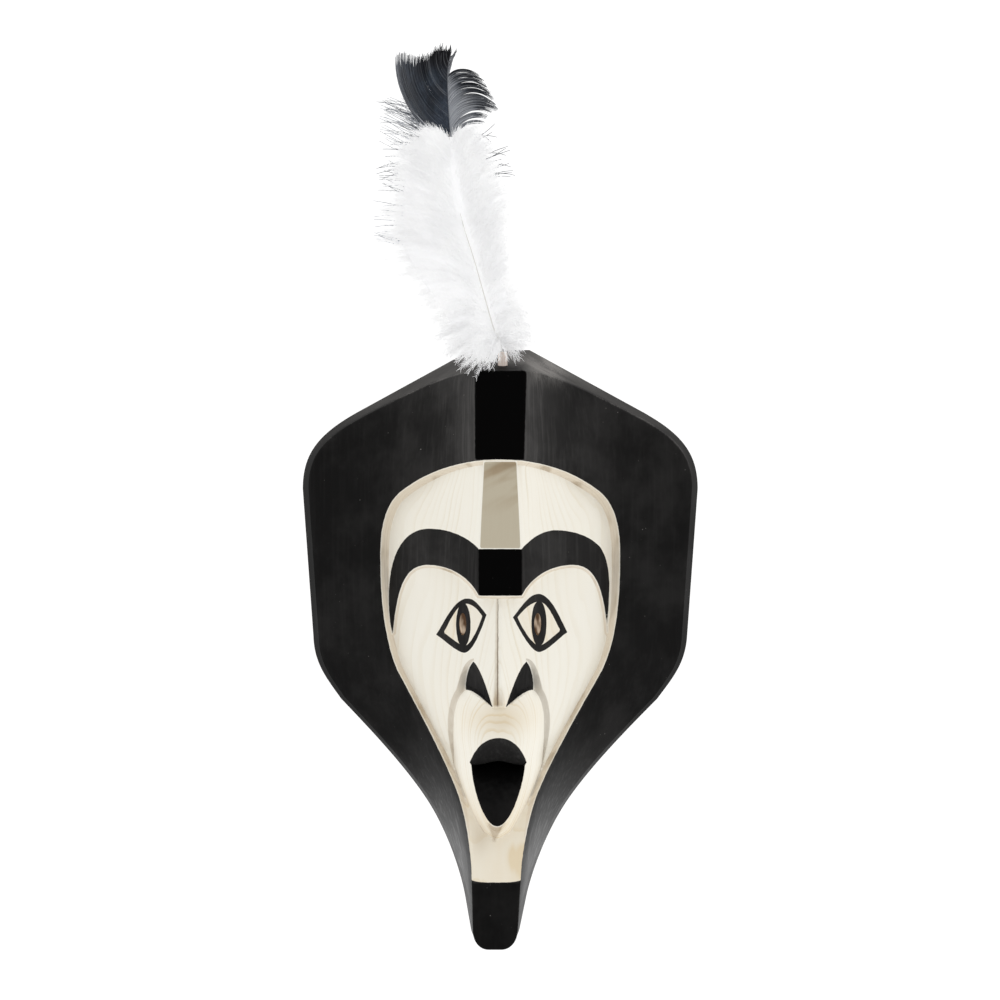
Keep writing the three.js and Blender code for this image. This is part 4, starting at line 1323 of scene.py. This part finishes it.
# Side of the plume, how many hairs, and the places of the lowest and the highest
EDGE_HAIRS = ((-1, 46, 95, 190), (1, 16, 140, 190))
BARB_STEPS = 14


def shaft_at(shaft, heights):
    """Places on a shaft at given heights up the mask."""
    fine = curve_through(shaft, 400)
    x, z = (np.interp(heights, fine[:, 1], fine[:, axis]) for axis in (0, 2))
    return np.c_[x, heights, z]


def add_shaft(strands, shaft, material, lift=0.0):
    path = curve_through(shaft, 60)
    path[:, 2] += lift * smooth((path[:, 1] - 10) / 20) * smooth((135 - path[:, 1]) / 60)
    width = np.interp(path[:, 1], [10, 26, 120, 200], [QUILL_RADIUS, 0.62, 0.4, 0.22])
    turn = np.linspace(0, 2 * math.pi, 8, endpoint=False)
    section = np.c_[np.cos(turn), np.sin(turn)]
    strands.add(path[None], width[None], 1.0, section, 0.8, material)


def plume_barbs(rng, side, count, depth):
    """Paths of the barbs on one side of the plume, from the shaft out to the edge of the down."""
    root_y = np.linspace(*PLUME_ROOTS, count) + rng.normal(0, 0.6, count)
    roots = shaft_at(PLUME_SHAFT, root_y)
    share = (root_y - PLUME_ROOTS[0]) / (PLUME_ROOTS[1] - PLUME_ROOTS[0])
    rise = mix(-8, 26, np.clip(share * 3, 0, 1)) + rng.normal(0, 3, count)
    tip_y = root_y + rise
    over = np.clip((tip_y - PLUME_TOP) / np.maximum(rise, 1), 0, 0.97)
    edge = plume_left(tip_y) if side < 0 else plume_right(tip_y)
    reach = 1 - np.abs(rng.normal(0, 0.15, count)) + 0.17 * (rng.random(count) < 0.24)
    tip_x = roots[:, 0] + (edge - roots[:, 0]) * reach * (1 - over) ** 0.9
    tip_y = np.minimum(tip_y, PLUME_TOP + rng.normal(0, 1.0, count))
    droop = rng.normal(0, 2.5, count)
    tips = np.c_[tip_x, tip_y + droop * (1 - over), roots[:, 2] + depth + rng.normal(0, 2.5, count)]
    span = (tips - roots)[:, :1]
    first = roots + np.c_[span * 0.25, np.abs(span) * 0.35, rng.normal(depth * 0.6, 1.2, count)]
    second = mix(roots, tips, 0.7) + np.c_[span * 0.02, np.abs(span) * 0.16, rng.normal(0, 1.2, count)]
    return bends(roots, first, second, tips, BARB_STEPS)


def tuft_barbs(rng, count):
    """Paths of the loose down at the foot of the plume, which falls over the crest."""
    roots = shaft_at(PLUME_SHAFT, rng.uniform(11, 22, count))
    turn = rng.uniform(150, 252, count)
    reach = rng.uniform(12, 28, count) * (1 + 0.25 * np.exp(-(((turn - 208) / 20) ** 2)))
    reach = reach * mix(1.0, 0.8, turn > 235)
    right = rng.random(count) < 0.16
    turn = np.radians(np.where(right, rng.uniform(-12, 65, count), turn))
    reach = np.where(right, rng.uniform(10, 26, count), reach)
    over_peg = rng.random(count) < 0.05
    turn = np.where(over_peg, np.radians(rng.uniform(250, 300, count)), turn)
    reach = np.where(over_peg, rng.uniform(8, 14, count), reach)
    tips = roots + np.c_[np.cos(turn) * reach * 1.1, np.sin(turn) * reach, rng.uniform(12, 24, count)]
    lowest = BAR_TOP + 5 - 0.4 * np.maximum(np.abs(tips[:, 0]) - BAR_HALF, 0)
    tips[:, 2] = np.where(tips[:, 1] < CREST_Y + 6, np.maximum(tips[:, 2], lowest), tips[:, 2])
    none = np.zeros(count)
    first = mix(roots, tips, 0.3) + np.c_[none, none + 5.0, rng.uniform(6, 14, count)]
    second = mix(roots, tips, 0.75) + np.c_[none, none + 3.5, rng.uniform(2, 6, count)]
    return bends(roots, first, second, tips, BARB_STEPS)


def barbules(rng, barbs, gap, length):
    """Paths of the fine side threads along each barb."""
    steps = np.linalg.norm(np.diff(barbs, axis=1), axis=2)
    along = np.c_[np.zeros(len(barbs)), np.cumsum(steps, axis=1)]
    roots = []
    ahead = []
    share = []
    for barb, lengths in zip(barbs, along):
        places = np.arange(2.5, lengths[-1], gap) + rng.uniform(-0.4, 0.4) * gap
        at = np.column_stack([np.interp(places, lengths, barb[:, k]) for k in range(3)])
        on = np.column_stack([np.interp(places + 0.6, lengths, barb[:, k]) for k in range(3)])
        roots.append(at)
        ahead.append(on - at)
        share.append(places / lengths[-1])
    roots, ahead, share = np.vstack(roots), np.vstack(ahead), np.concatenate(share)
    ahead /= np.linalg.norm(ahead, axis=1, keepdims=True) + 1e-9
    count = len(roots)
    side = np.where(np.arange(count) % 2, 1, -1)
    turn = np.radians(rng.normal(34, 12, count)) * side
    across = np.c_[
        ahead[:, 0] * np.cos(turn) - ahead[:, 1] * np.sin(turn),
        ahead[:, 0] * np.sin(turn) + ahead[:, 1] * np.cos(turn),
        ahead[:, 2] + rng.normal(0, 0.3, count),
    ]
    reach = (length * rng.uniform(0.6, 1.25, count) * mix(1.0, 0.55, share))[:, None]
    middle = roots + across * reach * 0.5
    tips = middle + mix(across, ahead, 0.45) * reach * 0.5 + rng.normal(0, 0.35, (count, 3))
    return np.stack([roots, middle, tips], axis=1)


CORE = {"foot": 15.0, "top": PLUME_TOP - 5, "middle": 96.0, "reach": 82.0, "half_thick": 2.2}
CORE_SIDES = 24
CORE_ROWS = 44


def plume_core(down):
    """The closed body of down under the loose strands, which lets nothing dark show between them."""
    turn = np.linspace(0, 2 * math.pi, CORE_SIDES, endpoint=False)
    heights = np.linspace(CORE["foot"], CORE["top"], CORE_ROWS)
    shaft = shaft_at(PLUME_SHAFT, heights)
    left = plume_left(heights) + 9
    right = plume_right(heights) - 8
    ends = np.sqrt(1 - np.clip(np.abs(heights - CORE["middle"]) / CORE["reach"], 0, 0.995) ** 6)
    half = (right - left) / 2 * ends
    rings = []
    for row, y in enumerate(heights):
        x = (left[row] + right[row]) / 2 + half[row] * np.cos(turn)
        z = shaft[row, 2] - 1.0 + CORE["half_thick"] * ends[row] * np.sin(turn)
        rings.append(np.c_[x, np.full(CORE_SIDES, y), z])
    core = loft("white_plume_core", rings)
    core.data.materials.append(down)
    # Painted shade: the core, which lies under the strands, takes the greyer down colour
    store(core, "tone", np.full(len(core.data.vertices), -0.8))
    tidy_normals(core)
    bpy.ops.object.shade_smooth()
    return core


def add_down(strands, rng, barbs, gap, length, barb_width, thread_width):
    count, steps, _ = barbs.shape
    taper = np.linspace(1, 0.12, steps)[None]
    tone = np.clip(rng.normal(0.6, 0.25, (count, 1)), 0, 1)
    strands.add(barbs, np.broadcast_to(taper * barb_width, (count, steps)), 0.16, BLADE, tone)
    threads = barbules(rng, barbs, gap, length)
    widths = np.array([1, 0.8, 0.3])[None] * np.full((len(threads), 1), thread_width)
    tone = np.clip(rng.normal(0.7, 0.25, (len(threads), 1)), 0, 1)
    strands.add(threads, widths, 0.6, THREAD, tone)


def grow_plume(settings):
    """The white plume in layers, each its own mesh, so that none is too heavy."""
    rng = np.random.default_rng(11)
    down = down_finish(settings)
    quill = quill_finish()
    pieces = [plume_core(down)]
    for layer, depth in (("under", -2.5), ("over", 2.5)):
        for name, side in SIDES:
            strands = Strands()
            barbs = plume_barbs(rng, side, settings.barbs, depth)
            add_down(strands, rng, barbs, settings.thread_gap / MM, 9.0, 0.6, 0.16)
            if (layer, name) == ("over", "left"):
                add_shaft(strands, PLUME_SHAFT, 1, lift=3.6)
            pieces.append(strands.build("white_plume_" + name + "_" + layer, [down, quill]))
    strands = Strands()
    add_down(strands, rng, tuft_barbs(rng, TUFTS), 1.0, 6.5, 0.3, 0.15)
    pieces.append(strands.build("white_plume_tufts", [down, quill]))
    return pieces


# Tips of the dark feather's barbs: the top of the broad vane, as places across and up, and the
# curled vane, as shares of its length with places across and up, and with the height of its arch
BROAD_TOP = ((-82, -77, -65, -55, -47, -42, -38), (240, 243, 240, 241.5, 247, 246, 245.5))
CURL_SHARES = (0, 0.2, 0.45, 0.65, 0.8, 1)
CURL_X = (-17, -11.5, -6, -2.2, -8.5, -13)
CURL_Y = (226, 217.5, 207, 198.5, 197, 188)
CURL_ARCH = ((0, 0.5, 0.75, 1), (7, 15, 9, 3))
LOCKS = 9


def broad_vane(rng, count):
    """The barbs of the dark feather's broad left vane, which sweep up to its frayed top."""
    k = np.linspace(0, 1, count)
    roots = shaft_at(DARK_SHAFT, mix(166, 240, k))
    tip_x = mix(-81.5, -38.5, k**0.9) + rng.normal(0, 0.4, count)
    tip_y = np.interp(tip_x, *BROAD_TOP)
    long = mix(1.5, 3.2, smooth((k - 0.5) / 0.3))
    fray = np.where(rng.random(count) < 0.4, rng.uniform(-6, 1, count) + long, rng.normal(-0.5, 0.9, count))
    tips = np.c_[tip_x, tip_y + fray, roots[:, 2] + rng.normal(0, 0.5, count)]
    bulge = 15 * (1 - k) ** 0.8
    first = mix(roots, tips, 0.36) + np.c_[-bulge, -bulge * 0.45, 1.5 * (1 - k)]
    second = mix(roots, tips, 0.74) + np.c_[-bulge * 0.85, -bulge * 0.3, 2.0 * (1 - k)]
    return bends(roots, first, second, tips, 16)


def curled_vane(rng, count):
    """The barbs of the right vane, which arch over to the right in separate locks."""
    k = np.linspace(0, 1, count)
    gathered = mix(k, np.round(k * LOCKS) / LOCKS, 0.42)
    roots = shaft_at(DARK_SHAFT, mix(224, 172, k))
    tips = np.c_[np.interp(gathered, CURL_SHARES, CURL_X), np.interp(gathered, CURL_SHARES, CURL_Y)]
    tips = np.c_[tips + rng.normal(0, 0.6, (count, 2)), roots[:, 2] + rng.normal(0, 0.6, count)]
    arch = np.interp(k, *CURL_ARCH)
    span = (tips - roots)[:, :1]
    first = roots + np.c_[span * 0.18, mix(5, 13, k) + arch * 0.4, np.full(count, 1.2)]
    second = tips + np.c_[-span * 0.36, arch * 0.75, np.full(count, 0.8)]
    return bends(roots, first, second, tips, 18)


def sliver_vane(rng, count):
    """The few pale barbs right of the shaft at the very top."""
    k = np.linspace(0, 1, count)
    roots = shaft_at(DARK_SHAFT, mix(222, 240, k))
    tips = np.c_[mix(-38.5, -33.5, k), mix(238, 246.5, k) + rng.normal(0, 1.3, count), roots[:, 2]]
    first = mix(roots, tips, 0.35) + (0.9, -0.6, 0.4)
    second = mix(roots, tips, 0.75) + (0.7, -0.4, 0.4)
    return bends(roots, first, second, tips, 10)


def edge_hairs(rng, roots_y, tips, bow):
    """Long dark hairs from the hidden shaft out past the down."""
    roots = shaft_at(DARK_SHAFT, roots_y)
    tips = np.c_[tips, DARK_Z + rng.normal(0, 1.0, len(tips))]
    lift = np.c_[bow * 0, bow, bow * 0]
    first = mix(roots, tips, 0.35) + lift
    second = mix(roots, tips, 0.72) + lift * 0.7
    return bends(roots, first, second, tips, BARB_STEPS)


def add_barbs(strands, barbs, half_width, fine_tip, tone):
    """Flat barbs of one width that thin out over their last part, fine_tip of their length."""
    steps = np.linspace(0, 1, barbs.shape[1])[None]
    width = half_width * np.clip((1 - steps) / fine_tip, 0.22, 1)
    strands.add(barbs, np.broadcast_to(width, barbs.shape[:2]), 0.25, BLADE, np.clip(tone, 0, 1))


def grow_dark_feather(settings):
    rng = np.random.default_rng(7)
    strands = Strands()
    add_shaft(strands, DARK_SHAFT, 0)

    barbs = broad_vane(rng, BROAD_BARBS)
    steps = np.linspace(0, 1, barbs.shape[1])[None]
    k = np.linspace(0, 1, BROAD_BARBS)[:, None]
    streak = rng.random(k.shape) < 0.16
    pale = rng.uniform(0.76, 0.9, k.shape) + 0.07 * smooth((k - 0.35) / 0.2)
    tone = np.where(streak, pale, rng.normal(0.97, 0.02, k.shape)) - 0.07 * smooth((0.3 - k) / 0.3)
    near_shaft = 0.05 * (1 - steps) - 0.03 * (1 - k) * steps
    add_barbs(strands, barbs, 0.4, 0.24, tone + near_shaft + (0.2 * k - 0.06) * steps**3)

    barbs = curled_vane(rng, CURLED_BARBS)
    steps = np.linspace(0, 1, barbs.shape[1])[None]
    k = np.linspace(0, 1, CURLED_BARBS)[:, None]
    dark = smooth((steps - mix(-0.1, 0.62, k)) / 0.35) * (1 - 0.55 * smooth((k - 0.82) / 0.12))
    tone = mix(0.68, 1.02, dark) - 0.2 * k + rng.normal(0, 0.13, k.shape)
    add_barbs(strands, barbs, 0.34, 0.3, np.maximum(tone, 0.1))
    barbs = sliver_vane(rng, SLIVER_BARBS)
    add_barbs(strands, barbs, 0.26, 0.3, rng.uniform(0.55, 1, (SLIVER_BARBS, 1)))

    fade = np.linspace(0, 1, BARB_STEPS)[None]
    k = rng.random(TOP_HAIRS)
    tips = np.c_[rng.normal(-90, 3.8, TOP_HAIRS), mix(174, 208, k) + rng.normal(0, 2.5, TOP_HAIRS)]
    hairs = edge_hairs(rng, mix(148, 180, k), tips, rng.uniform(-3, 13, TOP_HAIRS))
    dark = rng.random((TOP_HAIRS, 1)) < 0.5
    width = np.where(dark, 0.3, 0.4) * mix(1, 0.35, fade)
    tone = np.where(dark, 0.95, 0.3) * mix(0.8, 1.05, fade)
    strands.add(hairs, width, 0.4, THREAD, np.clip(tone, 0, 1))

    tips = np.c_[rng.uniform(-79, -68, PALE_HAIRS), rng.uniform(190, 212, PALE_HAIRS)]
    pale = edge_hairs(rng, rng.uniform(158, 178, PALE_HAIRS), tips, rng.uniform(-1, 3, PALE_HAIRS))
    add_barbs(strands, pale, 0.45, 0.4, rng.uniform(0.2, 0.42, (PALE_HAIRS, 1)))

    for side, count, low, high in EDGE_HAIRS:
        y = rng.uniform(low, high, count)
        edge = plume_left(y) if side < 0 else plume_right(y)
        tips = np.c_[edge + side * rng.uniform(5, 15, count), y + rng.normal(0, 2.5, count)]
        hairs = edge_hairs(rng, np.clip(y - 16, 20, 176), tips, rng.normal(5, 6, count))
        tone = smooth((fade - 0.36) / 0.3) * (0.4 + 0.6 * smooth((y[:, None] - 110) / 60))
        width = np.broadcast_to(0.42 * np.clip(1.35 - fade, 0.35, 1), hairs.shape[:2])
        strands.add(hairs, width, 0.5, THREAD, np.clip(tone, 0.05, 1))
    return strands.build("dark_feather_vanes", [dark_finish(settings), quill_finish()])


def sky(settings):
    """Soft white light from all round, darker overhead, which leaves the satin paint black."""
    world = bpy.data.worlds.new("tent")
    world.use_nodes = True
    bpy.context.scene.world = world
    finish = Finish("tent", tree=world.node_tree)
    x, z = finish.axes("xz", finish.node("ShaderNodeTexCoord", {}, {}))
    up = finish.maths("MAXIMUM", z, 0.0)
    around = 1 - finish.between(up, math.cos(math.radians(62)), math.cos(math.radians(10)))
    light = settings.overhead + around * (1 - settings.overhead) + x * 0.06
    back = world.node_tree.nodes["Background"]
    finish.feed(back.inputs["Color"], finish.colour((0, 0, 0), settings.light_colour, light))
    back.inputs["Strength"].default_value = settings.brightness


def stage_sheet(name, place, size, glow):
    """A flat sheet of the stage. Its colours are set on the finish that comes back."""
    bpy.ops.object.select_all(action="DESELECT")
    bpy.ops.mesh.primitive_plane_add(size=1, location=place)
    sheet = bpy.context.object
    sheet.name = name
    sheet.scale = (*size, 1)
    bpy.ops.object.transform_apply(location=True, rotation=True, scale=True)
    finish = Finish(name, roughness=0.9)
    finish.use("Emission Strength", glow)
    sheet.data.materials.append(finish.material)
    return finish


def length(name, description, default, least):
    """A length in metres for the panel."""
    limits = {"min": least, "precision": 5, "unit": "LENGTH"}
    return FloatProperty(name=name, description=description, default=default, **limits)


def amount(name, description, default, **limits):
    return FloatProperty(name=name, description=description, default=default, min=0.0, **limits)


def colour(name, description, *default):
    return FloatVectorProperty(name=name, description=description, default=default, subtype="COLOR")


class MaskSettings(bpy.types.PropertyGroup):
    line_step: length("Line spacing", "Distance between points along the drawn lines", 0.00115, 0.0005)
    face_step: length("Face spacing", "Distance between the points of the face", 0.00135, 0.0005)
    hood_step: length("Hood spacing", "Distance between the points of the hood", 0.0024, 0.0005)
    whitewash: colour("Whitewash", "Colour of the face", 0.89, 0.865, 0.785)
    ring_tint: colour("Late wood", "Growth rings under the whitewash", 0.72, 0.64, 0.48)
    lip_tint: colour("Lip tint", "Warmer wood about the mouth and on the chin", 0.77, 0.655, 0.47)
    # Bare wood of the cut walls, and on the folds and the lip's under facet also painted shade; the stain
    # colour also paints shade
    bevel: colour("Bevels", "Cut walls that have little paint", 0.78, 0.7, 0.58)
    bevel_stain_and_shade: colour("Bevel stain", "Darker places on those walls", 0.42, 0.33, 0.22)
    # Grey used as painted shade on the fold walls
    fold_shade_colour: colour("Folds", "Grey of the folds beside the muzzle", 0.56, 0.53, 0.465)
    grey_bar: colour("Forehead bar", "Grey bar on the forehead", 0.51, 0.46, 0.355)
    bar_streak: colour("Bar streaks", "Brown grain at the top of the grey bar", 0.3, 0.21, 0.12)
    # Colour of the painted shade down the crest of the nose
    nose_shade: colour("Nose crest", "Dark line down the crest of the nose", 0.15, 0.105, 0.07)
    paint_gloss: amount("Paint gloss", "Gloss on the black paint", 0.07, max=1.0)
    chin_sheen: amount("Chin sheen", "Gloss on the black sides of the chin", 0.68, max=1.0)
    # Grey of worn paint and dust, which also paints the sheen on the upper side walls
    worn_dust_and_sheen: colour("Worn edge", "Rubbed black paint, and the dust on it", 0.2, 0.19, 0.18)
    black: colour("Black paint", "Colour of the hood, brows and mouth", 0.0024, 0.0023, 0.0023)
    # Grey of the black's haze, which also paints its sheen
    black_haze_and_sheen: colour("Black haze", "Thinner, cloudier black paint", 0.066, 0.0635, 0.062)
    bare: colour("Bare wood", "Colour of the hollow and the back", 0.52, 0.36, 0.21)
    bare_dark: colour("Bare late wood", "Growth rings of the bare wood", 0.3, 0.17, 0.08)


class FeatherSettings(bpy.types.PropertyGroup):
    barbs: IntProperty(
        name="Barbs",
        description="Barbs on each side of each layer of the plume",
        default=150,
        min=20,
        max=200,
    )
    thread_gap: length("Thread spacing", "Distance between threads along a barb", 0.00085, 0.0003)
    down: colour("Down", "Colour of the white plume", 0.97, 0.97, 0.97)
    # Greyer down, which also paints the shade on the core under the strands
    down_grey_and_shade: colour("Down shade", "Colour of its greyer strands", 0.86, 0.86, 0.87)
    # Strength of the painted glow of the down
    down_painted_glow: amount("Down glow", "Light that the down lets through", 0.185)
    ink: colour("Black barbs", "Colour of the dark feather", 0.006, 0.006, 0.008)
    ink_blue: colour("Blue streaks", "The dark feather's bluer barbs", 0.045, 0.06, 0.085)
    pale_vane: colour("Pale barbs", "The dark feather where it is least dark", 0.62, 0.64, 0.68)


class StageSettings(bpy.types.PropertyGroup):
    floor_size: length("Floor size", "Side of the square floor", 8.0, 1.0)
    floor_glow: amount("Floor glow", "Light of the white floor", 1.0)
    brightness: amount("Brightness", "Strength of the light all round", 1.25)
    overhead: amount("Overhead", "Light straight overhead, as a share of that all round", 0.5, max=1.0)
    light_colour: colour("Light colour", "Colour of the light", 1.0, 1.0, 1.0)
    lens: FloatProperty(
        name="Lens",
        description="Focal length of the camera, in millimetres",
        default=108.0,
        min=20.0,
        subtype="DISTANCE_CAMERA",
    )
    camera_height: length("Camera height", "Height of the camera over the floor", 2.4, 0.5)


class WINDMASK_OT_carve(bpy.types.Operator):
    """Carve and paint the mask"""

    bl_idname = "wind_mask.carve"
    bl_label = "Carve the mask"

    def execute(self, context):
        settings = context.scene.wind_mask
        mask = carve_blank(settings.line_step / MM, settings.face_step / MM, settings.hood_step / MM)
        mask.data.materials.append(painted_wood(settings))
        mask.data.materials.append(bare_wood(settings))
        tidy_normals(mask)
        cut(mask, hollow_cutter())
        slit = (EYE_SLIT["half_width"], EYE_SLIT["half_height"], EYE_SLIT["length"])
        for _, side in SIDES:
            cut(mask, round_cutter((side * EYE_SLIT["x"], EYE_SLIT["y"], EYE_SLIT["z"]), *slit))
        bore = PEG["radius"] + PEG_CLEARANCE
        place = (PEG["x"], PEG["from"] - PEG_CLEARANCE + BORE_LENGTH / 2, PEG["z"])
        cut(mask, round_cutter(place, bore, bore, BORE_LENGTH, turned=True))
        mark_paint(mask)
        select_only(mask)
        bpy.ops.object.shade_smooth_by_angle(angle=math.radians(35))
        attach(mask, BODY)
        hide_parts("mask_body")
        return {"FINISHED"}


class WINDMASK_OT_peg(bpy.types.Operator):
    """Finish the peg that holds the quills"""

    bl_idname = "wind_mask.peg"
    bl_label = "Finish the peg"

    def execute(self, context):
        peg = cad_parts["quill_peg"]
        peg.data.materials.clear()
        peg.data.materials.append(peg_wood())
        return {"FINISHED"}


class WINDMASK_OT_plume(bpy.types.Operator):
    """Grow the white plume"""

    bl_idname = "wind_mask.plume"
    bl_label = "Grow the plume"

    def execute(self, context):
        for piece in grow_plume(context.scene.wind_mask_feathers):
            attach(piece, BODY)
            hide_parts("white_plume")
        return {"FINISHED"}


class WINDMASK_OT_dark_feather(bpy.types.Operator):
    """Grow the dark feather"""

    bl_idname = "wind_mask.dark_feather"
    bl_label = "Grow the dark feather"

    def execute(self, context):
        piece = grow_dark_feather(context.scene.wind_mask_feathers)
        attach(piece, BODY)
        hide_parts("dark_feather")
        return {"FINISHED"}


# The stage, in metres
FLOOR_Z = -0.001
# Painted shade: a dark brown glowing sheet under the hollow, seen through the eye slits
SHADE_UNDERLAY = {"place": (0, -0.175, -0.0004), "size": (0.2, 0.16)}
CAMERA_PLACE = (-0.0002, -0.105)
SENSOR_WIDTH = 36


class WINDMASK_OT_stage(bpy.types.Operator):
    """Lay the floor and set the light and the camera"""

    bl_idname = "wind_mask.stage"
    bl_label = "Set the stage"

    def execute(self, context):
        settings = context.scene.wind_mask_stage
        sky(settings)
        context.scene.view_settings.view_transform = "Standard"
        middle = (CAD_BOX[0][1] + CAD_BOX[1][1]) / 2
        size = settings.floor_size
        floor = stage_sheet("floor", (0, middle, FLOOR_Z), (size, size), settings.floor_glow)
        floor.use("Base Color", (0.1, 0.1, 0.1))
        floor.use("Emission Color", (1, 1, 1))
        # Painted shade: the sheet stands in for the shaded floor inside the hollow, seen through the slits
        under = stage_sheet("shade_underlay", SHADE_UNDERLAY["place"], SHADE_UNDERLAY["size"], 1.0)
        patch = under.between(under.grain(0.16, 0.07), 0.38, 0.66)
        under.use("Base Color", (0.1, 0.07, 0.05))
        under.use("Emission Color", under.colour((0.06, 0.035, 0.02), (0.5, 0.4, 0.3), patch))
        camera = bpy.data.cameras.new("camera")
        camera.lens = settings.lens
        camera.sensor_width = SENSOR_WIDTH
        eye = bpy.data.objects.new("camera", camera)
        context.collection.objects.link(eye)
        eye.location = (*CAMERA_PLACE, settings.camera_height)
        context.scene.camera = eye
        return {"FINISHED"}


class WINDMASK_PT_panel(bpy.types.Panel):
    bl_label = "Wind Mask"
    bl_idname = "WINDMASK_PT_panel"
    bl_space_type = "VIEW_3D"
    bl_region_type = "UI"
    bl_category = "Wind Mask"

    def draw(self, context):
        for step in STEPS:
            self.layout.operator(step.bl_idname)


STEPS = (
    WINDMASK_OT_carve,
    WINDMASK_OT_peg,
    WINDMASK_OT_plume,
    WINDMASK_OT_dark_feather,
    WINDMASK_OT_stage,
)
GROUPS = {
    "wind_mask": MaskSettings,
    "wind_mask_feathers": FeatherSettings,
    "wind_mask_stage": StageSettings,
}


def register():
    for made in (*GROUPS.values(), *STEPS, WINDMASK_PT_panel):
        bpy.utils.register_class(made)
    for name, group in GROUPS.items():
        setattr(bpy.types.Scene, name, PointerProperty(type=group))


def unregister():
    for name in GROUPS:
        delattr(bpy.types.Scene, name)
    for made in (WINDMASK_PT_panel, *STEPS, *GROUPS.values()):
        bpy.utils.unregister_class(made)


def main():
    register()
    for step in STEPS:
        getattr(bpy.ops.wind_mask, step.bl_idname.split(".")[1])()


if __name__ == "__main__":
    main()
